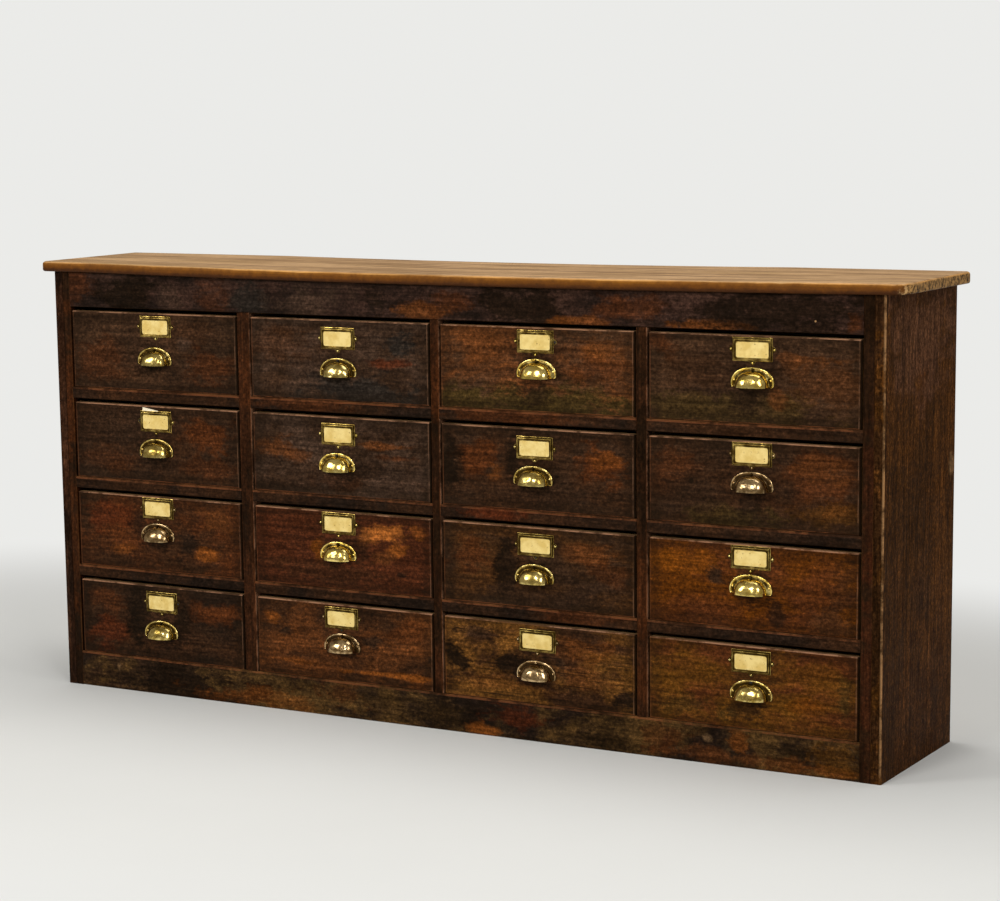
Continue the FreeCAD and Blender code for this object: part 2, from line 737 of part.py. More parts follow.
# The pieces of the drawer in one row and column
def make_drawer(row, column, wood_parts, pull, card_frame):
    name = f"drawer_r{row + 1}c{column + 1}"
    x = f"({opening_left(column)} + {opening_width} / 2)"
    y = f"({front_face} + drawer_setback)"
    z = f"({opening_bottom(row)} + drawer_bottom_gap)"
    box = group(f"{name}_box", wood_parts)
    place(box, x, y, z)
    pull_z = f"({z} + (1 - {PULL_DROP_SHARES[row][column]}) * {drawer_height(row)})"
    frame_z = f"({z} + (1 - {FRAME_DROP_SHARES[row][column]}) * {drawer_height(row)})"
    pull_x = f"({x} + {PULL_SHIFT_SHARES[row][column]} * drawer_width)"
    frame_x = f"({x} + {FRAME_SHIFT_SHARES[row][column]} * drawer_width)"
    brasses = group(f"{name}_brasses", [
        placed(f"{name}_pull", pull, pull_x, y, pull_z),
        placed(f"{name}_frame", card_frame, frame_x, y, frame_z),
    ])
    card = board(f"{name}_card", "card_width", "card_thickness", "card_height",
                 f"({frame_x} - card_width / 2)", f"({y} - card_bezel_thickness + card_bezel_lip)",
                 f"({frame_z} - card_window_drop - card_slack - card_height / 2)")
    return [box, brasses, card]


nodes = [
    make_top_board(),
    make_side("left_side", left_face, True),
    make_side("right_side", f"({left_face} + {carcass_width} - side_thickness)", False),
    make_stiles(),
    frame_board("top_rail", frame_width, "top_rail_height", opening_left(0),
                f"({carcass_height} - top_rail_height)", "X"),
    frame_board("bottom_rail", frame_width, "bottom_rail_height", opening_left(0), "0", "X"),
    make_muntins(),
    make_cross_rails(),
    group("partitions", [make_partition(column) for column in range(len(muntin_widths))]),
    make_runners(),
    make_back_boards(),
    make_back_rails(),
]
drawer_pull = make_pull()
drawer_frame = make_card_frame()
for drawer_row in range(COUNTS["rows"]):
    drawer_wood = make_drawer_parts(drawer_row)
    for drawer_column in range(COUNTS["columns"]):
        nodes += make_drawer(drawer_row, drawer_column, drawer_wood, drawer_pull, drawer_frame)
document.recompute()

for item in document.Objects:
    if "Invalid" in item.State or "Error" in item.State:
        raise RuntimeError(f"{item.Name} failed: {item.State}")
for node in nodes:
    if node.Shape.isNull() or not node.Shape.isValid():
        raise RuntimeError(f"{node.Name} has no valid shape")

os.makedirs("parts", exist_ok=True)
for node in nodes:
    node.Label = node.Name
    node.Shape.exportStep(f"parts/{node.Label}.step")
    box = node.Shape.BoundBox
    print(f"{node.Label}: {len(node.Shape.Solids)} solids, x {box.XMin:.1f} {box.XMax:.1f}, "
          f"y {box.YMin:.1f} {box.YMax:.1f}, z {box.ZMin:.1f} {box.ZMax:.1f}")
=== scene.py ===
import math

import bmesh
import bpy
import numpy as np
from mathutils import Matrix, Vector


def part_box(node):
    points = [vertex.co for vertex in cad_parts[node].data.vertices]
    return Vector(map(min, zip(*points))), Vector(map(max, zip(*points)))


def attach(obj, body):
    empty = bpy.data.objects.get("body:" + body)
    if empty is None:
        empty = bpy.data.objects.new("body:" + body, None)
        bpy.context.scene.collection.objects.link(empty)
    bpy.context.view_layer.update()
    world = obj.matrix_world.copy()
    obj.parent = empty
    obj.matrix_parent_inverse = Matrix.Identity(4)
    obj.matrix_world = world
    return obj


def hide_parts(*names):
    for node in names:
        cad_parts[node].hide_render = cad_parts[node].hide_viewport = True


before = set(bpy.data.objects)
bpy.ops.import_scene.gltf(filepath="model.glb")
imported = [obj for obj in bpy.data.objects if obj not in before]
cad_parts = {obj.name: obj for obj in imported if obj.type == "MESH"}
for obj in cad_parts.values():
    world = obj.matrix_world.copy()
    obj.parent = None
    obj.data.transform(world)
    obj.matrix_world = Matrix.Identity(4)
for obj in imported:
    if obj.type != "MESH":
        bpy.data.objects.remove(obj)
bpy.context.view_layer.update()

print("frame loaded")

rows = (1, 2, 3, 4)
drawers = [(row, column) for row in rows for column in (1, 2, 3, 4)]
faceY = float(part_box("drawer_r1c1_box")[0][1])  # plane of the drawer fronts
carcassY = float(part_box("top_rail")[0][1])  # plane of the face frame


# colours are picked as screen values from 0 to 255 and turned to linear light
def tone(red, green, blue):
    picked = np.array([red, green, blue]) / 255
    linear = np.where(picked <= 0.04045, picked / 12.92, ((picked + 0.055) / 1.055) ** 2.4)
    return (*[float(part) for part in linear], 1.0)


def addObject(name, data):
    made = bpy.data.objects.new(name, data)
    bpy.context.scene.collection.objects.link(made)
    return made


# camera, solved once against the photograph's corners
cameraLook = {"place": (2.43588, -4.20005, 1.15677), "yaw": -0.51878, "pitch": 0.15426,
              "roll": -0.01122, "lens": 92.567, "shiftY": 0.0559}


def makeCamera(look):
    yaw, pitch, roll = look["yaw"], look["pitch"], look["roll"]
    ahead = np.array([math.sin(yaw) * math.cos(pitch), math.cos(yaw) * math.cos(pitch), -math.sin(pitch)])
    right = np.array([math.cos(yaw), -math.sin(yaw), 0])
    up = np.cross(right, ahead)
    matrix = np.identity(4)
    matrix[:3, 0] = math.cos(roll) * right + math.sin(roll) * up
    matrix[:3, 1] = -math.sin(roll) * right + math.cos(roll) * up
    matrix[:3, 2] = -ahead
    matrix[:3, 3] = look["place"]
    lens = bpy.data.cameras.new("camera")
    lens.sensor_fit, lens.sensor_width = "HORIZONTAL", 36
    lens.lens, lens.shift_y, lens.clip_end = look["lens"], look["shiftY"], 80
    camera = addObject("camera", lens)
    camera.matrix_world = Matrix(matrix.tolist())
    bpy.context.scene.camera = camera


makeCamera(cameraLook)
print("camera placed")


# node helpers: a value that is a socket is linked, anything else is typed in. The tree is the one that
# the sockets lie in
def feed(socket, value):
    if isinstance(value, bpy.types.NodeSocket):
        socket.id_data.links.new(value, socket)
    elif value is not None:
        socket.default_value = value


def feedAll(made, inputs):
    for socket, value in inputs.items():
        feed(made.inputs[socket], value)


def addNode(tree, kind, inputs=None, **settings):
    made = tree.nodes.new(f"ShaderNode{kind}")
    for setting, value in settings.items():
        setattr(made, setting, value)
    feedAll(made, inputs or {})
    return made


def treeOf(*values):
    return next(value.id_data for value in values if isinstance(value, bpy.types.NodeSocket))


def calc(operation, a, b=None, c=None, clamp=False):
    made = addNode(treeOf(a, b, c), "Math", {0: a, 1: b, 2: c}, operation=operation, use_clamp=clamp)
    return made.outputs[0]


def times(a, b):
    return calc("MULTIPLY", a, b)


# a times b plus c
def timesPlus(a, b, c):
    return calc("MULTIPLY_ADD", a, b, c)


def vector(operation, a, b=None):
    made = addNode(a.id_data, "VectorMath", {0: a, 1: b}, operation=operation)
    return made.outputs["Value" if operation == "LENGTH" else 0]


def split(value):
    return addNode(value.id_data, "SeparateXYZ", {0: value}).outputs


def blend(factor, a, b, kind="MIX"):
    return addNode(treeOf(factor, a, b), "Mix", {0: factor, 6: a, 7: b}, data_type="RGBA",
                   blend_type=kind).outputs[2]


# a colour times a grey of the shade's strength
def shadeBy(colour, shade):
    grey = addNode(shade.id_data, "CombineColor", {0: shade, 1: shade, 2: shade}).outputs[0]
    return blend(1.0, colour, grey, "MULTIPLY")


# eases from start to end while the value goes from low to high
def between(value, low, high, start=0.0, end=1.0):
    return addNode(value.id_data, "MapRange", {0: value, 1: low, 2: high, 3: start, 4: end},
                   interpolation_type="SMOOTHSTEP").outputs[0]


# noise in a turned lattice, so that its cells never line up with the boards; a scale of three numbers
# stretches it
def noise(place, scale, detail=3.0, rough=0.5, twist=0.0):
    if isinstance(scale, tuple):
        place, scale = vector("MULTIPLY", place, scale), 1.0
    tree = place.id_data
    turned = addNode(tree, "VectorRotate", {"Vector": place, "Axis": (0.5, 0.7, 0.5), "Angle": 0.9})
    return addNode(tree, "TexNoise", {"Vector": turned.outputs[0], "Scale": scale, "Detail": detail,
                                      "Roughness": rough, "Distortion": twist}).outputs["Fac"]


def addBump(shader, height, strength, distance):
    bump = addNode(height.id_data, "Bump", {"Strength": strength, "Distance": distance, "Height": height})
    feed(shader.inputs["Normal"], bump.outputs[0])


def startMaterial(name):
    material = bpy.data.materials.new(name)
    material.use_nodes = True
    tree = material.node_tree
    return material, tree.nodes["Principled BSDF"], addNode(tree, "TexCoord").outputs["Object"]


# the surface's own direction in its three parts
def directionBy(place):
    return split(addNode(place.id_data, "NewGeometry").outputs["Normal"])


# the number that each point of a mesh carries
def shareBy(place):
    return addNode(place.id_data, "Attribute", attribute_name="share").outputs["Fac"]


# wood tones
tones = {name: tone(*picked) for name, picked in {
    "black": (22, 13, 6), "sootAndShadow": (31, 19, 11), "blueBlack": (36, 30, 25),
    "umber": (44, 28, 17), "dark": (50, 29, 15), "brown": (60, 39, 24),
    "greyBrown": (60, 43, 32), "redBrown": (72, 36, 14), "maroon": (62, 29, 13),
    "red": (84, 35, 13), "russet": (86, 47, 20), "orange": (114, 61, 20),
    "chestnut": (78, 39, 5), "amber": (104, 55, 9), "burst": (160, 91, 36),
    "olive": (56, 42, 17), "golden": (86, 52, 13), "pale": (158, 120, 80),
    "rubbed": (176, 128, 96), "rubbedRed": (134, 78, 46), "edgeDark": (44, 26, 12),
    "sienna": (104, 66, 25), "tawny": (60, 35, 14), "dusk": (92, 60, 40),
}.items()}
fibreStretch = {"X": (4, 110, 150), "Y": (150, 4, 150), "Z": (150, 110, 4)}
fleckStretch = {"X": (70, 180, 170), "Y": (170, 70, 170), "Z": (170, 180, 60)}
figureStretch = {"X": (1.1, 9, 11), "Y": (11, 1.1, 11), "Z": (11, 9, 1.1)}


# what a board's look has unless its own dictionary says otherwise: across is the axis along which its
# patches are placed, under and sideWear are the wear of lower and upright edges against the upper ones
plainWood = {"across": 0, "rings": 15, "ring": .25, "grain": 1.35, "deep": .17, "pores": .18,
             "blotch": (6, 5, 12), "ragged": (15, 15, 27), "under": .3, "sideWear": .45, "rough": .34,
             "shine": .1, "patches": (), "lines": (), "spots": (), "inside": None}


# A worn area or a patch of painted shadow: a stretched distance from its middle, made ragged by the shared
# wobble
def patchMask(place, wobble, across, patch):
    at, up, halfWidth, halfHeight, _, strength = patch
    middle, share = [0, 0, up], [0, 0, 1 / halfHeight]
    middle[across], share[across] = at, 1 / halfWidth
    away = vector("LENGTH", vector("MULTIPLY", vector("SUBTRACT", place, middle), share))
    ragged = timesPlus(wobble, 3.6, calc("SUBTRACT", away, 1.8))
    return between(ragged, 0.42, 1.12, strength, 0.0)


# Stained wood: blotches of stain, worn patches and a few patches of painted shadow, growth rings, fibres,
# flecks and pores, pale wear on the small bevels of the edges, which the surface's own direction finds, then
# rubbed lines of wear, black lines of painted shade, and spots
def woodMaterial(name, ownLook):
    look = {**plainWood, **ownLook}
    material, shader, place = startMaterial(name)
    along, seed, grain = look["along"], look["seed"], look["grain"]
    moved = vector("ADD", place, (seed * 1.37, seed * 0.71, seed * 2.13))
    fibres = noise(moved, fibreStretch[along], 5, 0.7, 0.3)
    flecks = noise(moved, fleckStretch[along], 5, 0.72)
    mottle = noise(moved, 175, 5, 0.72)
    field = noise(moved, figureStretch[along], 2, 0.45, 0.35)
    rings = between(calc("PINGPONG", times(field, look["rings"]), 0.5), 0.0, 0.34)
    stain = noise(moved, look["blotch"], 6, 0.66, 0.4)
    wobble = noise(moved, look["ragged"], 6, 0.66)
    wobble = timesPlus(calc("SUBTRACT", flecks, 0.5), 0.35, wobble)
    colour = blend(between(stain, 0.38, 0.62), look["dark"], look["mid"])
    for patch in look["patches"]:
        colour = blend(patchMask(place, wobble, look["across"], patch), colour, tones[patch[4]])
    shade = timesPlus(fibres, 1.9 * grain, -3.5 * grain - look["ring"] / 2 - look["deep"])
    shade = timesPlus(flecks, 2.1 * grain, shade)
    shade = timesPlus(mottle, 3.0 * grain, shade)
    colour = shadeBy(colour, calc("EXPONENT", timesPlus(rings, look["ring"], shade)))
    pores = noise(moved, tuple(part * 2.8 for part in fibreStretch[along]), 2, 0.6)
    pores = between(pores, 0.6, 0.7)
    colour = blend(times(pores, look["pores"]), colour, look["pore"])
    facing = directionBy(place)
    upright = times(calc("ABSOLUTE", facing[1]), facing[2])
    upright = calc("MAXIMUM", upright, times(upright, -look["under"]))
    sideways = times(calc("ABSOLUTE", times(facing[1], facing[0])), look["sideWear"])
    bevel = between(calc("MAXIMUM", upright, sideways), 0.05, 0.45)
    rubbed = noise(moved, 16, 6, 0.75)
    worn = times(bevel, between(rubbed, 0.43, 0.6, look["wear"] * 0.12, look["wear"]))
    colour = blend(worn, colour, look["worn"])
    part = split(place)
    broken = between(rubbed, 0.42, 0.57, 0.15, 1.0)
    for axis, at, halfWidth, paint, strength in look["lines"]:
        middle = timesPlus(wobble, 0.0016, at - 0.0008)
        off = calc("ABSOLUTE", calc("SUBTRACT", part["XYZ".index(axis)], middle))
        share = between(off, halfWidth * 0.4, halfWidth, strength, 0.0)
        if paint != "black":
            share = times(share, broken)
        colour = blend(share, colour, tones[paint])
    for middle, radius, paint in look["spots"]:
        away = vector("LENGTH", vector("SUBTRACT", place, middle))
        colour = blend(between(away, radius * 0.6, radius, 0.9, 0.0), colour, tones[paint])
    rough = timesPlus(stain, 0.25, look["rough"])
    if look["inside"]:
        colour, rough = addInside(place, colour, rough, look["inside"])
    feedAll(shader, {"Base Color": colour, "Roughness": rough, "Specular Tint": (1.0, 0.76, 0.5, 1.0),
                     "Specular IOR Level": times(wobble, look["shine"])})
    dents = noise(moved, (22, 22, 22), 3, 0.5)
    height = calc("ADD", times(fibres, 0.5), timesPlus(rings, 0.25, times(dents, 1.6)))
    addBump(shader, calc("SUBTRACT", height, times(pores, 0.5)), 0.5, 0.0009)
    return material


# Behind the stained face a drawer is bare pine, grimy where hands and runners touch it
def addInside(place, colour, rough, look):
    bare = blend(noise(place, (9, 9, 240), 3, 0.6), look["dark"], look["light"])
    grime = between(noise(place, 9, 4, 0.6), 0.5, 0.75, 0.0, 0.5)
    outside = between(split(place)[1], look["from"], look["to"], 1.0, 0.0)
    return (blend(outside, blend(grime, bare, look["grime"]), colour),
            timesPlus(outside, -0.3, calc("ADD", rough, 0.3)))


def dress(node, material):
    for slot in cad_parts[node].material_slots:
        slot.material = material


# carcass: dark stain with the red brown of the wood worn through. A worn patch is its place across, its
# height, its half width and half height in metres, its paint and its strength
frameStain = {"dark": tone(28, 18, 12), "mid": tone(54, 34, 23), "worn": tone(112, 70, 38),
              "pore": tone(9, 5, 3), "wear": .8}
topRailPatches = [
    (-.84, .81, .05, .04, "redBrown", .5), (-.72, .8, .07, .05, "black", .9),
    (-.5, .8, .05, .04, "redBrown", .4), (-.42, .79, .05, .06, "blueBlack", .9),
    (-.28, .8, .1, .04, "greyBrown", .7), (-.02, .785, .09, .018, "russet", .85),
    (.03, .8, .05, .03, "redBrown", .6), (.18, .8, .09, .06, "black", .85),
    (-.13, .8, .03, .03, "black", .7), (-.6, .79, .04, .03, "greyBrown", .5),
    (.3, .775, .06, .012, "orange", .55), (.4, .8, .07, .03, "redBrown", .6),
    (.54, .776, .08, .012, "orange", .6), (.68, .81, .18, .05, "black", .75),
    (.82, .788, .016, .02, "redBrown", .7),
]
bottomRailPatches = [
    (-.66, .035, .26, .09, "umber", .85),
    (-.6, .03, .18, .05, "black", .8), (-.76, .045, .007, .01, "pale", .3),
    (-.4, .02, .16, .02, "orange", .4), (-.22, .05, .06, .03, "redBrown", .5),
    (.02, .035, .1, .06, "black", .7), (.15, .045, .06, .03, "red", .5),
    (.1, .01, .05, .014, "orange", .7), (.36, .035, .06, .05, "black", .6),
    (.46, .04, .05, .04, "redBrown", .5), (.61, .038, .025, .03, "orange", .5),
    (.55, .045, .01, .007, "pale", .2), (.7, .03, .06, .04, "black", .6),
    (.78, .012, .05, .012, "orange", .5), (.6, .015, .16, .02, "russet", .6),
    (.8, .04, .06, .03, "golden", .5),
]
carcassLooks = {
    "top_rail": {"along": "X", "seed": 3, "dark": tone(28, 18, 14), "mid": tone(54, 35, 27),
                 "patches": topRailPatches,
                 "spots": [((-.012, carcassY, .815), .0028, "black"),
                           ((.749, carcassY, .792), .0022, "pale")]},
    "bottom_rail": {"along": "X", "seed": 5, "mid": tone(76, 53, 25), "patches": bottomRailPatches},
    "cross_rails": {"along": "X", "seed": 8, "mid": tone(48, 28, 15), "blotch": (6, 3, 6), "patches": [
        (-.3, .6, .14, .02, "redBrown", .5), (.17, .6, .16, .02, "redBrown", .6),
        (.6, .6, .2, .02, "dark", .5), (.12, .42, .06, .02, "red", .6),
        (.3, .24, .1, .02, "redBrown", .5), (-.6, .6, .2, .02, "dark", .5)]},
    "muntins": {"along": "Z", "seed": 11, "dark": tone(27, 14, 5), "mid": tone(51, 26, 11),
                "worn": tone(104, 58, 30), "sideWear": .9, "blotch": (6, 3, 5), "patches": [
        (-.43, .65, .03, .08, "redBrown", .55), (-.005, .66, .03, .08, "redBrown", .7),
        (.42, .3, .03, .07, "redBrown", .6), (.42, .12, .03, .05, "redBrown", .5)]},
    "stiles": {"along": "Z", "seed": 14, "dark": tone(27, 14, 5), "mid": tone(38, 20, 8),
               "blotch": (3, 3, 3), "patches": [
        (.85, .5, .02, .16, "maroon", .4), (.85, .2, .02, .16, "maroon", .5),
        (-.86, .62, .03, .16, "redBrown", .6), (-.86, .3, .03, .18, "redBrown", .4)]},
    "left_side": {"along": "Z", "seed": 17, "worn": tone(110, 66, 38), "blotch": (3, 4, 2.4),
                  "mid": tone(64, 38, 23), "sideWear": .8, "shine": .02},
    "right_side": {"along": "Z", "seed": 19, "dark": tone(62, 36, 11), "mid": tone(82, 48, 18),
                   "worn": tone(190, 140, 92), "wear": .7, "blotch": (4, 7, 2.2), "rings": 19, "grain": 1.5,
                   "ring": .3, "pores": .15, "sideWear": .8, "shine": .02,
                   "lines": [("X", .8735, .0021, "pale", .5)], "across": 1, "patches": [
        (.02, .02, .2, .24, "dark", .45), (.02, .3, .05, .05, "brown", .5),
        (.165, .52, .014, .022, "pale", .5), (.02, .7, .06, .06, "redBrown", .45),
        (.0, .76, .2, .12, "dusk", .8), (-.168, .43, .012, .7, "edgeDark", .9),
        (-.154, .66, .0025, .09, "russet", .6)]},
}
muntinLines = []
for column in (1, 2, 3):
    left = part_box(f"drawer_r1c{column}_box")[1][0]
    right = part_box(f"drawer_r1c{column + 1}_box")[0][0]
    # the black line along each muntin's left edge is painted shade beside the gap; the rubbed line along its
    # right edge is wear
    muntinLines += [("X", left + .002, .0026, "black", .9), ("X", right - .003, .0013, "rubbed", .5)]
carcassLooks["muntins"]["lines"] = muntinLines
railLines = {"top_rail": [], "cross_rails": [], "bottom_rail": []}
for row in rows:
    low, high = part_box(f"drawer_r{row}c1_box")
    above = "top_rail" if row == rows[0] else "cross_rails"
    below = "bottom_rail" if row == rows[-1] else "cross_rails"
    # a black band on the rail just over each drawer is painted shadow that widens the gap; the rubbedRed line
    # on the rail under each drawer is wear
    railLines[above].append(("Z", high[2] + .0055, .0044, "black", .9))
    railLines[below].append(("Z", low[2] - .0032, .0018, "rubbedRed", .5))
for rail, lines in railLines.items():
    carcassLooks[rail]["lines"] = lines
for node, look in carcassLooks.items():
    dress(node, woodMaterial(f"{node}Stain", {**frameStain, **look}))

bareLook = {"dark": tone(132, 98, 62), "mid": tone(160, 122, 80), "worn": tone(176, 140, 96), "wear": .3,
            "pore": tone(74, 50, 32), "ring": .4, "rough": .6, "shine": .15, "grain": .8, "deep": .05}
backLow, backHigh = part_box("back_boards")
boards = 12
joints = [("X", backLow[0] + index * (backHigh[0] - backLow[0]) / boards, .0022, "black", .85)
          for index in range(1, boards)]
bareLooks = {"partitions": {"along": "Y"}, "runners_and_stops": {"along": "Y"}, "back_rails": {"along": "X"},
             "back_boards": {"along": "Z", "blotch": (8, 8, 1.6), "lines": joints}}
for node, look in bareLooks.items():
    dress(node, woodMaterial(f"{node}Bare", {**bareLook, **look, "seed": len(node)}))
print("carcass stained")

# drawer fronts: base tones, then worn patches as (across, down, half width, half height) shares of the front,
# measured from its upper left corner. The dark patches a little below the pull, near .44 to .48 across and .7
# to .76 down, are painted shadow of the pull; the others are stain and wear
drawerLooks = {
    (1, 1): ("umber", "brown", [(.15, .65, .2, .3, "redBrown", .4), (.36, .35, .09, .35, "umber", .6),
        (.72, .25, .2, .22, "dark", .5), (.68, .38, .05, .1, "greyBrown", .6),
        (.84, .68, .18, .26, "redBrown", .45), (.08, .2, .1, .2, "umber", .5)]),
    (1, 2): ("umber", "greyBrown", [(.17, .32, .2, .26, "russet", .15), (.83, .28, .1, .15, "blueBlack", .95),
        (.8, .5, .16, .07, "red", .45), (.6, .85, .45, .22, "blueBlack", .85),
        (.14, .75, .16, .14, "brown", .4)]),
    (1, 3): ("brown", "russet", [(.18, .2, .22, .16, "russet", .6), (.85, .22, .15, .18, "orange", .25),
        (.82, .45, .18, .16, "redBrown", .4), (.5, .92, .7, .28, "olive", .75),
        (.48, .76, .1, .16, "sootAndShadow", .5), (.5, .45, .1, .25, "dark", .4)]),
    (1, 4): ("umber", "brown", [(.05, .1, .1, .16, "redBrown", .5), (.78, .26, .14, .1, "russet", .5),
        (.85, .5, .2, .34, "russet", .3), (.35, .85, .5, .25, "olive", .5), (.47, .76, .09, .17, "sootAndShadow", .6),
        (.61, .7, .04, .14, "russet", .5), (.25, .45, .2, .25, "dark", .4)]),
    (2, 1): ("umber", "dark", [(.8, .35, .18, .24, "redBrown", .7), (.78, .78, .2, .16, "redBrown", .4),
        (.2, .72, .2, .18, "redBrown", .25), (.15, .25, .2, .22, "umber", .5), (.5, .2, .2, .2, "sootAndShadow", .4)]),
    (2, 2): ("umber", "greyBrown", [(.14, .42, .13, .16, "russet", .55), (.26, .5, .1, .09, "russet", .5),
        (.74, .34, .16, .05, "russet", .7), (.82, .48, .12, .05, "redBrown", .5),
        (.45, .82, .2, .12, "redBrown", .3), (.3, .8, .25, .2, "umber", .5), (.62, .6, .2, .2, "sootAndShadow", .4)]),
    (2, 3): ("umber", "dark", [(.2, .38, .14, .22, "redBrown", .7), (.29, .55, .05, .12, "orange", .35),
        (.38, .4, .05, .3, "black", .8), (.05, .5, .06, .4, "black", .7),
        (.84, .38, .14, .26, "redBrown", .75), (.86, .3, .1, .12, "orange", .3),
        (.5, .8, .35, .14, "umber", .5)]),
    (2, 4): ("umber", "dark", [(.8, .45, .22, .4, "redBrown", .5), (.1, .4, .12, .35, "redBrown", .4),
        (.66, .55, .08, .16, "sootAndShadow", .6), (.82, .32, .14, .16, "russet", .4), (.85, .8, .2, .2, "golden", .3),
        (.4, .88, .3, .16, "olive", .5), (.48, .76, .09, .14, "sootAndShadow", .6),
        (.22, .62, .18, .22, "umber", .6)]),
    (3, 1): ("dark", "redBrown", [(.2, .28, .18, .22, "red", .4), (.28, .74, .1, .09, "orange", .35),
        (.8, .74, .1, .12, "orange", .7), (.84, .22, .14, .18, "russet", .8), (.67, .6, .06, .28, "sootAndShadow", .8),
        (.1, .85, .14, .14, "dark", .6), (.38, .4, .06, .25, "sootAndShadow", .5)]),
    (3, 2): ("maroon", "maroon", [(.76, .24, .15, .14, "burst", .62), (.8, .42, .07, .1, "orange", .7),
        (.92, .2, .06, .12, "orange", .4), (.36, .5, .05, .18, "amber", .5), (.4, .8, .4, .2, "dark", .45),
        (.84, .74, .04, .05, "sootAndShadow", .6), (.74, .56, .06, .12, "russet", .6)]),
    (3, 3): ("umber", "tawny", [(.14, .42, .13, .24, "redBrown", .5), (.33, .48, .06, .45, "black", .75),
        (.78, .28, .17, .12, "russet", .6), (.86, .5, .12, .15, "redBrown", .35),
        (.45, .86, .45, .14, "umber", .6)]),
    (3, 4): ("redBrown", "chestnut", [(.2, .26, .2, .2, "amber", .5), (.08, .3, .08, .16, "amber", .4),
        (.33, .4, .05, .14, "umber", .75), (.62, .82, .05, .16, "sootAndShadow", .6),
        (.8, .45, .18, .3, "redBrown", .4), (.25, .8, .25, .2, "redBrown", .4),
        (.85, .8, .14, .18, "brown", .4), (.93, .4, .08, .35, "dark", .4)]),
    (4, 1): ("sootAndShadow", "dark", [(.17, .74, .14, .26, "red", .4), (.36, .45, .08, .5, "black", .85),
        (.83, .3, .17, .2, "redBrown", .75), (.5, .66, .08, .05, "orange", .35),
        (.62, .4, .06, .3, "black", .7), (.8, .6, .15, .2, "umber", .4),
        (.15, .25, .13, .2, "redBrown", .4)]),
    (4, 2): ("dark", "russet", [(.08, .26, .09, .12, "orange", .6), (.78, .86, .26, .045, "orange", .8),
        (.16, .4, .05, .08, "umber", .75), (.66, .44, .05, .1, "umber", .7), (.2, .8, .12, .05, "orange", .4),
        (.75, .66, .16, .14, "dark", .2), (.86, .3, .12, .16, "redBrown", .4),
        (.3, .55, .2, .18, "russet", .3)]),
    (4, 3): ("dark", "sienna", [(.09, .52, .09, .22, "black", .85), (.35, .52, .07, .12, "black", .9),
        (.44, .7, .09, .1, "sootAndShadow", .8), (.63, .45, .05, .1, "umber", .7), (.95, .82, .06, .14, "sootAndShadow", .8),
        (.16, .16, .1, .1, "umber", .6), (.72, .24, .22, .16, "orange", .25),
        (.3, .8, .25, .12, "russet", .3), (.72, .62, .18, .16, "russet", .35)]),
    (4, 4): ("redBrown", "golden", [(.22, .35, .2, .25, "golden", .5), (.8, .3, .16, .2, "golden", .4),
        (.74, .66, .1, .1, "amber", .4), (.45, .74, .1, .14, "sootAndShadow", .5), (.94, .55, .05, .3, "olive", .5),
        (.2, .78, .2, .16, "olive", .4)]),
}
drawerWood = {"along": "X", "deep": .04, "worn": tone(112, 74, 42), "pore": tone(10, 6, 3), "wear": .7,
              "rings": 13, "under": .6,
              "inside": {"dark": tone(120, 88, 56), "light": tone(176, 138, 92), "grime": tone(66, 44, 28),
                         "from": faceY + .002, "to": faceY + .012}}


def drawerName(row, column):
    return f"drawer_r{row}c{column}"


for (row, column), (dark, mid, patches) in drawerLooks.items():
    name = drawerName(row, column)
    (left, _, bottom), (right, _, top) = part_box(f"{name}_box")
    brassLow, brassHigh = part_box(f"{name}_brasses")
    width, height, middle = right - left, top - bottom, (left + right) / 2
    worn = [(left + across * width, top - down * height, halfAcross * width, halfDown * height, paint,
             min(1.25 * strength, .95)) for across, down, halfAcross, halfDown, paint, strength in patches]
    worn.append((middle, (brassLow[2] + brassHigh[2]) / 2, .062, .058, "umber", .45))
    # a black patch under and behind the cup's lip: painted shadow of the pull
    worn.append((middle, brassLow[2] + .015, .05, .03, "black", .5))
    # the four wide black bands darken the front softly towards its edges, partly grime and partly painted
    # shade beside the gaps; the two thin black lines at the right and left are painted shadow on the rounded
    # arrises in the gaps; the rubbed lines are wear
    edges = [("Z", top, .022, "black", .35), ("Z", bottom, .026, "black", .4),
             ("X", left, .034, "black", .4), ("X", right, .03, "black", .4),
             ("Z", top - .0007, .0016, "rubbed", .75), ("Z", bottom + .001, .0014, "rubbedRed", .5),
             ("X", right - .0036, .0012, "rubbed", .2), ("X", left + .0032, .0012, "rubbedRed", .25),
             ("X", right - .0002, .0022, "black", .9), ("X", left + .0004, .0018, "black", .9)]
    look = {**drawerWood, "seed": row * 5 + column * 1.7, "dark": tones[dark], "mid": tones[mid],
            "patches": worn, "lines": edges}
    if (row, column) == (4, 3):
        look.update({"pores": .9, "grain": 1.5, "ring": .4})
    if (row, column) == (2, 4):
        look["spots"] = [((left + .208 * width, faceY, top - .5 * height), .006, "black")]
    dress(f"{name}_box", woodMaterial(f"{name}Stain", look))
print("drawers stained")


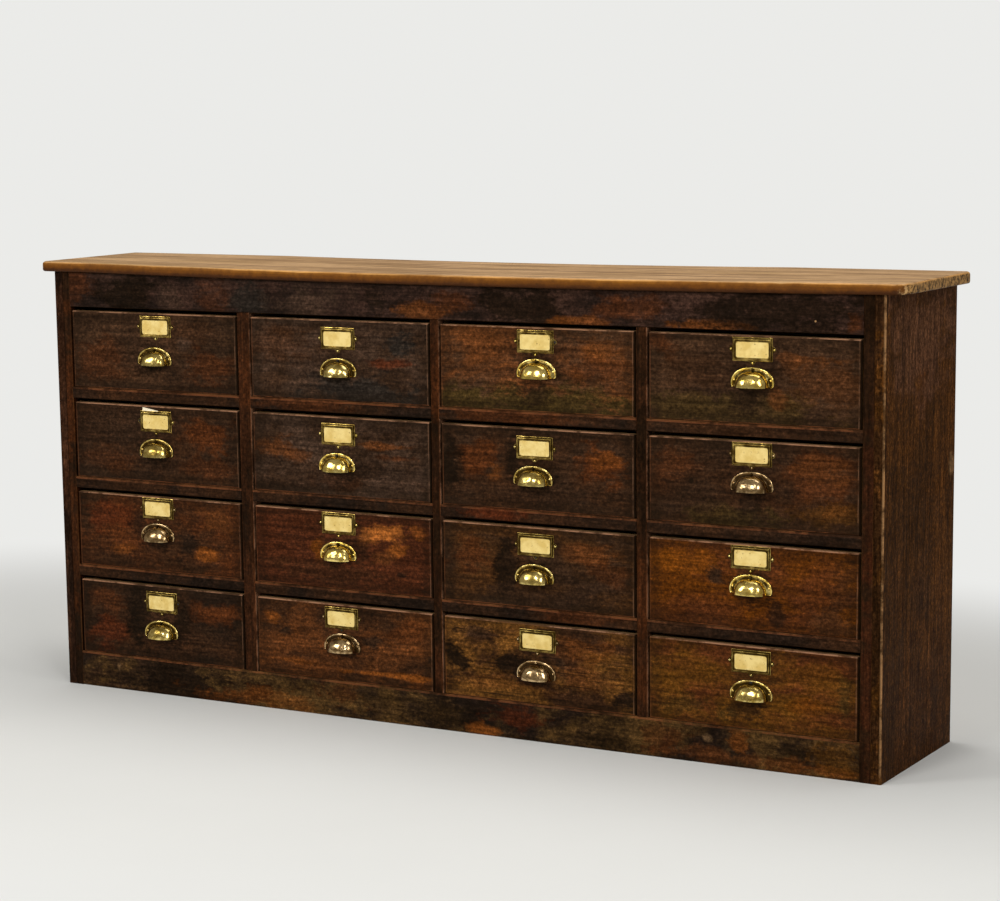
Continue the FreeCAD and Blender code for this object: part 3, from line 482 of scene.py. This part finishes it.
# A grid of count rings of around points becomes one closed skin: the first and last ring get one face each
# where they are capped, and the ages, one for each ring, point or both, become the share attribute
def meshFromRings(name, grid, material, capped=(True, True), ages=None):
    count, around = grid.shape[:2]
    start = np.arange(count - 1)[:, None] * around
    step = np.arange(around)
    following = (step + 1) % around
    quads = np.stack([start + step, start + following, start + around + following, start + around + step], -1)
    faces = quads.reshape(-1, 4).tolist()
    if capped[0]:
        faces.append(list(range(around))[::-1])
    if capped[1]:
        faces.append(list(range((count - 1) * around, count * around)))
    mesh = bpy.data.meshes.new(name)
    mesh.from_pydata(grid.reshape(-1, 3).tolist(), [], faces)
    if ages is not None:
        shares = np.broadcast_to(np.asarray(ages, np.float32), grid.shape[:2]).ravel()
        mesh.attributes.new("share", "FLOAT", "POINT").data.foreach_set("value", shares)
    shape = bmesh.new()
    shape.from_mesh(mesh)
    bmesh.ops.remove_doubles(shape, verts=shape.verts, dist=0.000005)
    bmesh.ops.recalc_face_normals(shape, faces=shape.faces)
    shape.to_mesh(mesh)
    shape.free()
    mesh.shade_smooth()
    mesh.set_sharp_from_angle(angle=math.radians(42))
    mesh.materials.append(material)
    return addObject(name, mesh)


# several skins joined in one object
def joinPieces(name, members):
    shape = bmesh.new()
    for member in members:
        shape.from_mesh(member.data)
    mesh = bpy.data.meshes.new(name)
    shape.to_mesh(mesh)
    shape.free()
    mesh.materials.append(members[0].data.materials[0])
    for member in members:
        bpy.data.objects.remove(member)
    return addObject(name, mesh)


# brass: polished where it is rubbed, brown where the share attribute, its tarnish, is high
brassLook = {"bright": tone(238, 214, 136), "mid": tone(184, 154, 74), "tarnished": tone(60, 44, 15),
             "rough": .18, "tarnishedRough": .42}
brightBrass = {**brassLook, "bright": tone(250, 226, 142), "mid": tone(222, 190, 92)}
brownBrass = {**brassLook, "bright": tone(214, 184, 138), "mid": tone(142, 112, 72),
              "tarnished": tone(60, 43, 22)}
frameBrass = {**brassLook, "bright": tone(206, 176, 96), "mid": tone(146, 116, 52)}
brownPulls = ((2, 4), (3, 1), (4, 2), (4, 3))
brightPulls = ((1, 3), (1, 4), (2, 2), (3, 2), (3, 4))


def brassMaterial(name, look, age):
    material, shader, place = startMaterial(name)
    tarnish = shareBy(place)
    cloud = noise(place, 70, 4, 0.6)
    speck = noise(place, 420, 3, 0.6)
    dull = calc("ADD", times(tarnish, 1.2), timesPlus(cloud, 1.9, age - 0.95), clamp=True)
    colour = blend(between(cloud, 0.35, 0.65), look["bright"], look["mid"])
    colour = blend(dull, colour, look["tarnished"])
    colour = blend(between(speck, 0.62, 0.72, 0.0, 0.5), colour, look["tarnished"])
    rough = timesPlus(dull, look["tarnishedRough"] - look["rough"], look["rough"])
    feedAll(shader, {"Base Color": colour, "Metallic": 1.0, "Roughness": rough})
    addBump(shader, timesPlus(speck, 0.008, noise(place, 58, 1, 0.4, 0.5)), 0.7, 0.0028)
    return material


def holeMaterial():
    material, shader, place = startMaterial("emptyPinHole")
    # near-black, partly dirt and partly painted shade of an empty pin hole
    dirtAndShade = blend(noise(place, 300), tone(12, 8, 6), tone(34, 24, 14))
    feedAll(shader, {"Base Color": dirtAndShade, "Roughness": 0.8})
    return material


brasses = {row: brassMaterial(f"brassRow{row}", brassLook, age)
           for row, age in zip(rows, (0.0, .06, .08, .12))}
brownedBrass = brassMaterial("brownedBrass", brownBrass, .04)
rubbedBrass = brassMaterial("rubbedBrass", brightBrass, -.2)
olderBrass = {row: brassMaterial(f"frameRow{row}", frameBrass, age)
              for row, age in zip(rows, (.08, .16, .28, .34))}
pullBrass = dict.fromkeys(brownPulls, brownedBrass) | dict.fromkeys(brightPulls, rubbedBrass)
emptyHole = holeMaterial()

pullShape = {"width": .082, "footWidth": .0785, "height": .035, "widestHeight": .0075, "power": .94,
             "plate": .0011, "rimWidth": .004, "rimHeight": .0028, "cupWidth": .0615, "cupPower": .84,
             "cupHeight": .0275, "cupReach": .0228, "wall": .0011, "footRadius": .0038, "points": 37}


# Half of the plate's outline, from beside the cup, round the foot and up the arch, then mirrored; points
# are spread evenly along it
def pullOutline(look, count):
    radius = look["footRadius"]
    foot = np.radians(np.linspace(-90, 0, 8))
    corner = np.column_stack([look["footWidth"] / 2 - radius * 0.7 + radius * np.cos(foot),
                              radius + radius * np.sin(foot)])
    turn = np.linspace(0, np.pi / 2, 60)
    rise = look["height"] - look["widestHeight"]
    arch = np.column_stack([look["width"] / 2 * np.cos(turn) ** look["power"],
                            look["widestHeight"] + rise * np.sin(turn) ** look["power"]])
    half = np.vstack([[look["cupWidth"] / 2 + 0.0006, 0.0002], corner, arch])
    gone = np.concatenate([[0], np.cumsum(np.hypot(*np.diff(half, axis=0).T))])
    share = np.linspace(0, 1, count)
    right = np.column_stack([np.interp(share * gone[-1], gone, half[:, side]) for side in (0, 1)])
    return np.vstack([right, right[-2::-1] * (-1, 1)]), np.concatenate([share, 2 - share[-2::-1]]) / 2


# Cup pull skin. Round the arch run sections that go over the rim's bead, across the plate, up a small
# fillet and down the quarter ellipsoid of the cup to its lip, then back inside it
def makePull(name, look, middle, material):
    outline, share = pullOutline(look, look["points"])
    run = np.gradient(outline, axis=0)
    run /= np.hypot(*run.T)[:, None]
    inward = np.column_stack([-run[:, 1], run[:, 0]])
    turn = np.pi * np.where(share < 0.5, (2 * share) ** 1.25 / 2, 1 - (2 * (1 - share)) ** 1.25 / 2)
    ends = np.clip(np.minimum(share, 1 - share) / 0.1, 0.12, 1)[:, None]
    bead = np.radians(np.linspace(180, 0, 9))
    halfRim, lowest = look["rimWidth"] / 2, look["plate"] * 0.6
    sections = [(outline, 0.0003, 0.9)]
    for angle in bead:
        sections.append((outline + inward * ends * halfRim * (1 + math.cos(angle)),
                         -lowest - (look["rimHeight"] - lowest) * math.sin(angle),
                         0.0 if 0.2 < math.sin(angle) else 0.3))
    power = look["cupPower"]
    wide = np.sin(turn) ** power
    base = np.column_stack([look["cupWidth"] / 2 * np.sign(np.cos(turn)) * np.abs(np.cos(turn)) ** power,
                            look["cupHeight"] * wide])
    outwards = base / np.maximum(np.hypot(*base.T), 0.001)[:, None]
    for gap, lift, age in ((0.85, 0.0, 0.9), (0.4, 0.0, 0.95), (0.08, 0.0002, 0.95)):
        rim = outline + inward * ends * look["rimWidth"]
        sections.append((base + (rim - base) * gap + outwards * (0.0004 if gap < 0.2 else 0),
                         -look["plate"] - lift, age))
    for down in np.radians(np.concatenate([[4, 9, 15], np.linspace(22, 90, 12)])):
        sections.append((base * (1, math.cos(down)),
                         -look["plate"] - (look["cupReach"] - look["plate"]) * wide * math.sin(down),
                         max(0.0, 0.8 - math.degrees(down) / 22)))
    inner = base * (1 - look["wall"] / (look["cupWidth"] / 2))
    depth = look["cupReach"] - look["wall"]
    sections.append((np.column_stack([(base[:, 0] + inner[:, 0]) / 2, 0 * wide - 0.0004]),
                     -(depth + look["wall"] / 2) * wide - look["plate"] * (1 - wide), 0.0))
    for down in np.radians(np.linspace(90, 0, 9)):
        sections.append((inner * (1, math.cos(down)), 0.0003 - depth * wide * math.sin(down), 0.8))
    grid = np.stack([np.column_stack([ring[:, 0], level + 0 * wide, ring[:, 1]])
                     for ring, level, _ in sections], 1)
    return meshFromRings(name, grid + middle, material, ages=[age for *_, age in sections])


# Domed pin: rings of a flattened half ball, or a shallow dark dimple where the pin is lost, whose near-black
# colour is partly dirt and partly painted shade standing in for the empty hole
def makePin(name, middle, radius, rise, material, tarnish, deep):
    turn = np.linspace(0, 2 * np.pi, 15)[:-1]
    steps = np.radians(np.array([0, 0, 18, 38, 58, 76, 88]))
    reach = np.cos(steps) * radius
    level = -np.sin(steps) * rise
    level[0] = deep
    grid = np.stack([reach[:, None] * np.cos(turn), level[:, None] + 0 * turn,
                     reach[:, None] * np.sin(turn)], -1)
    return meshFromRings(name, grid + middle, material, ages=tarnish)


frameShape = {"halfWidth": .0375, "halfHeight": .0205, "drop": .0012, "earReach": .0066,
              "earHalfWidth": .0058, "lift": .0017, "cornerSteps": 7}
# the frame's section from the wood outside to the window, each point with its inset from the outer edge in
# metres, the corner radius, the height over the wood and the tarnish
frameSection = [
    (0.0, .0008, .0003, .8), (0.0, .0008, -.0007, .1), (.0004, .0008, -.001, .0),
    (.0009, .001, -.001, .5), (.0021, .001, -.0011, .8), (.0024, .001, -.0023, .6),
    (.0028, .0012, -.0029, .15), (.0034, .0016, -.003, .15), (.004, .002, -.0029, .5),
    (.0047, .0026, -.0025, .8), (.006, .0032, -.0024, .6), (.0066, .0036, -.0025, .1),
    (.007, .0038, -.0023, .4), (.007, .0038, .0003, .95),
]


# Card frame: the section is carried round a rectangle with rounded corners
def makeCardFrame(name, look, section, middle, material):
    steps = look["cornerSteps"]
    corner = np.radians(np.linspace(0, 90, steps))
    angles = np.concatenate([corner + quarter * np.pi / 2 for quarter in range(4)])
    signX, signZ = np.repeat([[1, -1, -1, 1], [1, 1, -1, -1]], steps, axis=1)
    grid = []
    for inset, radius, level, _ in section:
        halfX, halfZ = look["halfWidth"] - inset, look["halfHeight"] - inset
        drop = look["drop"] * min(1, inset / section[-1][0])
        grid.append(np.column_stack([signX * (halfX - radius) + radius * np.cos(angles), 0 * angles + level,
                                     signZ * (halfZ - radius) + radius * np.sin(angles) - drop]))
    grid = np.stack(grid, 1)
    around = np.vstack([grid, grid[:1]])
    return meshFromRings(name, around + middle, material, (False, False), [age for *_, age in section])


# Ear of the frame: a flat rounded tab with softened edges, half hidden by the frame
def makeEar(name, look, middle, outX, outZ, material):
    turn = np.linspace(0, 2 * np.pi, 33)[:-1]
    across = look["earHalfWidth"] * np.sign(np.cos(turn)) * np.abs(np.cos(turn)) ** 0.9
    out = look["earReach"] * np.sign(np.sin(turn)) * np.abs(np.sin(turn)) ** 1.25
    rings = []
    for size, level in ((1.0, 0.0003), (1.0, -0.0006), (0.95, -0.0009), (0.5, -0.0009), (0.05, -0.0009)):
        x = outX * out * size + (across * size if outZ else 0)
        z = outZ * out * size + (across * size if outX else 0)
        rings.append(np.column_stack([x, 0 * turn + level, z]))
    ages = np.array([0.9, 0.35, 0.6, 1.0, 1.0])[:, None]
    return meshFromRings(name, np.stack(rings) + middle, material, ages=ages)


# the middle of a pull's open edge, read from the lowest corners of its solid
def pullPlace(node):
    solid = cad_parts[node]
    corners = np.array([solid.matrix_world @ corner.co for corner in solid.data.vertices])
    feet = corners[corners[:, 2] < corners[:, 2].min() + 0.0005, 0]
    return (feet.min() + feet.max()) / 2, faceY, corners[:, 2].min()


# the pull's pins from the middle of its foot, each with its radius
pullPins = {"pullTop": ((0, -.0026, .0306), .0026), "pullLeft": ((-.0346, -.0011, .0125), .0022),
            "pullRight": ((.0346, -.0011, .0125), .0022)}
earSides = {"frameLeft": (-1, 0), "frameRight": (1, 0), "frameDown": (0, -1)}
# pins that are lost, by row, column and place
lostPins = {(4, 4, "pullTop"), (1, 3, "frameRight"), (2, 2, "pullTop"), (1, 2, "pullTop"),
            (3, 3, "frameDown"), (4, 2, "frameDown"), (2, 1, "frameLeft"), (4, 1, "frameRight")}


# One drawer's brass: its pull, its card frame with three ears, and a pin or an empty hole at each place
def fitBrass(row, column):
    name = drawerName(row, column)
    cardBox = np.array(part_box(f"{name}_card"))
    frameMiddle = np.array([cardBox[:, 0].mean(), faceY, cardBox[:, 2].mean() + frameShape["lift"]])
    pullFoot = np.array(pullPlace(f"{name}_brasses"))
    brass = pullBrass.get((row, column), brasses[row])
    pull = makePull(f"{name}_pull", pullShape, pullFoot, brass)
    members = [makeCardFrame(f"{name}_bezel", frameShape, frameSection, frameMiddle, olderBrass[row])]
    spots = {label: (pullFoot + place, radius) for label, (place, radius) in pullPins.items()}
    halfX, halfZ = frameShape["halfWidth"], frameShape["halfHeight"]
    reach = frameShape["earReach"] * 0.48
    for label, (outX, outZ) in earSides.items():
        edge = frameMiddle + (outX * (halfX - 0.0004), 0, outZ * (halfZ - 0.0004))
        members.append(makeEar(f"{name}_{label}", frameShape, edge, outX, outZ, olderBrass[row]))
        spots[label] = (frameMiddle + (outX * (halfX + reach), -0.0009, outZ * (halfZ + reach)), 0.0021)
    cardFrame = joinPieces(f"{name}_card_frame", members)
    pins, holes = [], []
    for label, (middle, radius) in spots.items():
        atTop = label == "pullTop"
        lost = (row, column, label) in lostPins
        tarnish = 1.1 if atTop and (row, column) != (4, 3) else 0.0
        pin = makePin(f"{name}_{label}Pin", middle, radius, 0.0002 if lost else radius * 0.75,
                      emptyHole if lost else brass, tarnish, 0.0024 if atTop else 0.0006)
        (holes if lost else pins).append(pin)
    made = [pull, cardFrame, joinPieces(f"{name}_pins", pins)]
    if holes:
        made.append(joinPieces(f"{name}_pin_holes", holes))
    for piece in made:
        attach(piece, name)
    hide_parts(f"{name}_brasses")


for place in drawers:
    fitBrass(*place)
print("brass fitted")

# cards: cream stock gone yellow, with foxing
cardLook = {"fresh": tone(236, 210, 136), "aged": tone(216, 184, 104), "stain": tone(146, 108, 52)}


def cardMaterial(name, look):
    material, shader, place = startMaterial(name)
    pulp = noise(place, 900, 2, 0.5)
    colour = blend(between(noise(place, 45, 4, 0.6), 0.35, 0.68), look["fresh"], look["aged"])
    colour = blend(between(noise(place, 190, 2, 0.5), 0.66, 0.74, 0.0, 0.8), colour, look["stain"])
    colour = blend(between(pulp, 0.45, 0.8, 0.0, 0.25), colour, look["aged"])
    feedAll(shader, {"Base Color": colour, "Roughness": 0.75, "Specular IOR Level": 0.15})
    addBump(shader, pulp, 0.2, 0.0003)
    return material


agedCard = cardMaterial("agedCard", cardLook)
for place in drawers:
    dress(f"{drawerName(*place)}_card", agedCard)


# A slip of card has ridden up behind one frame's top bar: a thin sheet, turned about its middle, with the
# loops of its skin going up its face and down its back
slipLook = {"drawer": "drawer_r2c1", "turn": -9.0, "middle": (-.0135, .021), "width": .038,
            "height": .01, "out": .0008, "thickness": .0003, "steps": 5}


def makeSlip(look, material):
    low, high = np.array(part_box(f"{look['drawer']}_card"))
    across = np.linspace(-0.5, 0.5, 9)[:, None] * look["width"]
    up = np.linspace(-0.5, 0.5, look["steps"]) * look["height"]
    up = np.concatenate([up, up[::-1]])
    turn = math.radians(look["turn"])
    x = (low[0] + high[0]) / 2 + look["middle"][0] + across * math.cos(turn) - up * math.sin(turn)
    z = (low[2] + high[2]) / 2 + look["middle"][1] + across * math.sin(turn) + up * math.cos(turn)
    back = np.repeat([0, look["thickness"]], look["steps"])
    grid = np.stack([x, faceY - look["out"] + back + 0 * x, z], -1)
    piece = meshFromRings(f"{look['drawer']}_slip", grid, material)
    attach(piece, look["drawer"])


paleCard = {**cardLook, "fresh": tone(252, 244, 224), "aged": tone(240, 224, 186)}
makeSlip(slipLook, cardMaterial("paleCard", paleCard))
print("cards in")

# top board: waxed pine, pale and dry above, darker on its worn front and rough at the ends; low on the front
# edge the colour holds painted shade, and along the upper rounding and the arris a painted highlight
topLook = {"pale": tone(190, 152, 110), "tan": tone(160, 124, 84), "streak": tone(112, 80, 48),
           "high": tone(136, 84, 16), "front": tone(100, 56, 5), "frontDark": tone(64, 32, 3),
           "arris": tone(206, 150, 82), "endDark": tone(46, 28, 10), "endPale": tone(180, 136, 80),
           "bare": tone(200, 160, 108), "joint": -.135}


def topMaterial(name, look):
    material, shader, place = startMaterial(name)
    part = split(place)
    facing = directionBy(place)
    fibres = noise(place, (3, 210, 230), 5, 0.7)
    streaks = noise(place, (2.2, 52, 60), 5, 0.68)
    mottle = noise(place, 60, 5, 0.7)
    broad = noise(place, (4, 14, 14), 5, 0.6)
    above = blend(between(broad, 0.36, 0.64), look["tan"], look["pale"])
    above = blend(between(streaks, 0.5, 0.62, 0.0, 0.75), above, look["streak"])
    above = blend(between(streaks, 0.48, 0.38, 0.0, 0.6), above, look["bare"])
    above = blend(between(fibres, 0.53, 0.66, 0.0, 0.6), above, look["streak"])
    # the share runs from the underside up to the top, so the front goes from frontDark low down, painted
    # shade, to high at the upper rounding, painted highlight
    rim = timesPlus(mottle, 0.5, calc("SUBTRACT", shareBy(place), 0.5))
    rim = timesPlus(broad, 0.5, rim)
    front = blend(between(rim, 0.1, 0.5), look["frontDark"], look["front"])
    front = blend(between(rim, 0.5, 0.95), front, look["high"])
    specks = between(noise(place, (150, 170, 110), 5, 0.75), 0.42, 0.56)
    end = blend(specks, look["endDark"], look["endPale"])
    sides = blend(between(calc("ABSOLUTE", facing[0]), 0.45, 0.8), front, end)
    wander = timesPlus(mottle, 0.12, timesPlus(broad, 0.38, facing[2]))
    colour = blend(between(wander, 0.72, 1.1), sides, above)
    # a pale band where the front turns into the top: a painted highlight along the arris
    arris = times(between(wander, 0.62, 0.86), between(wander, 1.0, 1.24, 1.0, 0.0))
    colour = blend(times(arris, between(broad, 0.38, 0.6, 0.15, 0.85)), colour, look["arris"])
    chipped = vector("LENGTH", vector("SUBTRACT", place, look["chip"]))
    chipped = timesPlus(mottle, 0.03, calc("ADD", chipped, -0.015))
    torn = blend(specks, look["front"], look["bare"])
    colour = blend(between(chipped, 0.002, 0.01, 0.85, 0.0), colour, torn)
    off = calc("ABSOLUTE", calc("SUBTRACT", part[1], timesPlus(broad, 0.006, look["joint"] - 0.003)))
    joint = times(between(off, 0.0004, 0.0012, 0.5, 0.0), between(part[0], 0.45, 0.7))
    colour = blend(times(joint, between(facing[2], 0.8, 0.95)), colour, look["frontDark"])
    colour = shadeBy(colour, timesPlus(fibres, 0.7, timesPlus(mottle, 0.6, 0.35)))
    feedAll(shader, {"Base Color": colour, "Roughness": timesPlus(broad, 0.3, 0.36),
                     "Specular IOR Level": 0.12})
    addBump(shader, calc("ADD", fibres, mottle), 0.5, 0.0012)
    return material


topShape = {"radii": {"frontLeft": .015, "frontRight": .026, "back": .009}, "upper": .006,
            "lower": .0042, "sag": .0061, "backSag": .0034, "overhang": .0105,
            "bow": (.07, .88), "backBow": (.03, .55), "settled": .0015, "lift": .0002, "bendSteps": 9,
            "runSteps": (150, 20, 150, 20), "waves": .00025,
            "dents": ((-.643, .0015, .006), (.027, .0012, .005), (.214, .0012, .008),
                      (.646, .0022, .004), (.688, .0012, .01), (-.3, .001, .02))}


# Plan outline of the top, drawn in by an inset: straight runs joined by quarter circles
def topOutline(box, look, inset):
    low, high = box
    radii = [look["radii"][key] for key in ("frontLeft", "frontRight", "back", "back")]
    corners = [(low[0], low[1]), (high[0], low[1]), (high[0], high[1]), (low[0], high[1])]
    inwards = [(1, 1), (-1, 1), (-1, -1), (1, -1)]
    turn = np.radians(np.linspace(0, 90, look["bendSteps"]))
    bends = []
    for index, ((x, y), (inX, inY), radius) in enumerate(zip(corners, inwards, radii)):
        hold = max(radius, inset)
        left = max(radius - inset, 0)
        angle = turn + math.pi * (1 + index / 2)
        bends.append(np.column_stack([x + inX * hold + left * np.cos(angle),
                                      y + inY * hold + left * np.sin(angle)]))
    ring = []
    for index, steps in enumerate(look["runSteps"]):
        start, end = bends[index][-1], bends[(index + 1) % 4][0]
        share = np.linspace(0, 1, steps)[1:-1, None]
        ring += [bends[index], start + (end - start) * share]
    return np.vstack(ring)


# a parabola with its top, one, at the middle and nothing past its reach
def bow(along, middle, reach):
    return np.clip(1 - ((along - middle) / reach) ** 2, 0, 1)


# The board sags between its ends: the fall is a parabola along x that fades towards the back
def topFall(x, y, box, look):
    front = look["sag"] * bow(x, *look["bow"]) + look["settled"]
    back = look["backSag"] * bow(x, *look["backBow"])
    deep = np.clip((y - box[0][1]) / (box[1][1] - box[0][1]), 0, 1)
    return front * (1 - deep) + back * deep


# Plank skin: rings go round the lower and the upper arris, then inwards over the top to a line
def makeTop(name, look, material):
    low, high = box = np.array(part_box("top_board"))
    centreY = (low[1] + high[1]) / 2
    under = low[2] + look["lift"]
    rings = []
    count = len(topOutline(box, look, 0))
    facing = count - (look["runSteps"][-1] - 2)  # points that have one opposite, front to back
    across = np.arange(count)
    across[facing // 2:facing] = np.arange(facing // 2)[::-1]

    def addRing(inset, level, spread=None):
        ring = topOutline(box, look, inset)
        if spread is not None:
            ring[:, 1] = centreY + (ring[:, 1] - centreY) * spread
            front = np.clip(ring[across, 0], low[0] + 0.15, high[0] - 0.15)
            ring[:, 0] = front + (ring[:, 0] - front) * spread
        rings.append(np.column_stack([ring, level(ring)]))

    def onTop(drop):
        return lambda ring: high[2] - drop - topFall(ring[:, 0], ring[:, 1], box, look)

    def underneath(rise):
        return lambda ring: under + rise - look["sag"] * bow(ring[:, 0], *look["bow"]) * (
            ring[:, 1] < low[1] + look["overhang"])

    addRing(look["overhang"] + 0.002, underneath(0))
    addRing(look["overhang"] - 0.0002, underneath(0))
    for angle in np.radians(np.linspace(0, 90, 6)):
        addRing(look["lower"] * (1 - math.sin(angle)), underneath(look["lower"] * (1 - math.cos(angle))))
    for angle in np.radians(np.linspace(0, 90, 9)):
        addRing(look["upper"] * (1 - math.cos(angle)), onTop(look["upper"] * (1 - math.sin(angle))))
    for spread in (0.9, 0.75, 0.5, 0.25, 0):
        addRing(look["upper"] * 1.5, onTop(0), spread)
    grid = np.stack(rings)
    for middle, depth, width in look["dents"]:
        near = np.exp(-((grid[..., 0] - middle) / width) ** 2)
        arris = np.exp(-((grid[..., 2] - high[2] + 0.006) / 0.007) ** 2) * (grid[..., 1] < low[1] + 0.012)
        grid[..., 1] += near * arris * depth
        grid[..., 2] -= near * arris * depth * 0.6
    along = grid[..., 0]
    waves = np.sin(along * 19 + 2 * np.sin(along * 7)) + 0.5 * np.sin(along * 61 + 3 * np.sin(along * 11))
    waves = np.abs(look["waves"] * waves)
    grid[..., 1] += waves * (grid[..., 1] < low[1] + 0.006)
    upperFront = (grid[..., 2] > high[2] - 0.012) * (grid[..., 1] < low[1] + 0.012)
    grid[..., 2] -= waves[..., ::-1] * upperFront
    corner = np.hypot(grid[..., 0] - high[0] + 0.012, grid[..., 1] - low[1] - 0.008)
    torn = np.clip(1 - corner / 0.03, 0, 1) * (1 + 0.5 * np.sin(grid[..., 0] * 700 + grid[..., 2] * 900))
    grid[..., 0] -= 0.0022 * torn
    grid[..., 1] += 0.0016 * torn
    grid[..., 2] -= 0.0012 * torn * (grid[..., 2] > under + 0.012)
    # the share for each ring, from 0 under the board to 1 on top, drives the painted shade low on the front
    # edge and the painted highlight at its upper rounding
    rim = np.concatenate([[0, 0], np.linspace(0, 0.18, 6), np.linspace(0.72, 1, 9), [1] * 5])
    piece = meshFromRings(name, grid, material, (True, False), rim[:, None])
    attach(piece, "cabinet")
    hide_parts("top_board")


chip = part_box("top_board")
topLook["chip"] = (chip[1][0] - .01, chip[0][1] + .008, chip[0][2] + .004)
makeTop("top_plank", topShape, topMaterial("waxedTop", topLook))
print("top waxed")


# floor and light: the floor takes the object's shadow and fades to the backdrop's tone further off
backdrop = (.83, .83, .81, 1)


def makeFloor():
    material, shader, place = startMaterial("paleFloor")
    colour = blend(noise(place, 0.9, 6, 0.6), tone(222, 221, 216), tone(232, 231, 226))
    feedAll(shader, {"Base Color": colour, "Roughness": 0.7, "Specular IOR Level": 0.2})
    tree, part = place.id_data, split(place)
    away = calc("ADD", calc("POWER", times(part[0], 0.62), 2.0), calc("POWER", part[1], 2.0))
    seen = addNode(tree, "LightPath").outputs["Is Camera Ray"]
    glow = addNode(tree, "Emission", {"Color": backdrop, "Strength": 1.0})
    share = times(seen, between(away, 0.5, 3.2))
    mixed = addNode(tree, "MixShader", {0: share, 1: shader.outputs[0], 2: glow.outputs[0]})
    feed(tree.nodes["Material Output"].inputs["Surface"], mixed.outputs[0])
    mesh = bpy.data.meshes.new("floor")
    mesh.from_pydata([(-30, -30, 0), (30, -30, 0), (30, 30, 0), (-30, 30, 0)], [], [(0, 1, 2, 3)])
    mesh.materials.append(material)
    addObject("floor", mesh)


lampLooks = {
    "lampLeft": {"place": (-2.5, -3.0, 2.4), "aim": (-.3, 0, .4), "size": (1.2, 1.7), "power": 48},
    "lampFront": {"place": (.1, -3.7, 2.8), "aim": (0, 0, .4), "size": (1.0, 1.3), "power": 48},
    "lampRight": {"place": (2.9, -3.0, 2.4), "aim": (.3, 0, .4), "size": (1.2, 1.7), "power": 52},
    "lampOver": {"place": (.2, .3, 3.4), "aim": (.1, 0, .8), "size": (3.0, 1.6), "power": 48},
}


def makeLamp(name, look):
    lamp = bpy.data.lights.new(name, "AREA")
    lamp.shape = "RECTANGLE"
    lamp.size, lamp.size_y = look["size"]
    lamp.energy = look["power"]
    piece = addObject(name, lamp)
    piece.location = look["place"]
    aim = Matrix.Translation(look["aim"]).translation - piece.location
    piece.rotation_euler = aim.to_track_quat("-Z", "Y").to_euler()


def makeWorld():
    world = bpy.data.worlds.new("studio")
    bpy.context.scene.world = world
    world.use_nodes = True
    tree = world.node_tree
    rays = addNode(tree, "LightPath").outputs
    seen = calc("MAXIMUM", rays["Is Camera Ray"], rays["Is Transmission Ray"])
    around = blend(rays["Is Glossy Ray"], (0.29, 0.29, 0.29, 1), (0.25, 0.225, 0.18, 1))
    feedAll(tree.nodes["Background"], {"Color": blend(seen, around, backdrop), "Strength": 1.0})


makeFloor()
makeWorld()
for name, look in lampLooks.items():
    makeLamp(name, look)
bpy.context.scene.view_settings.view_transform = "Standard"
print("light set")
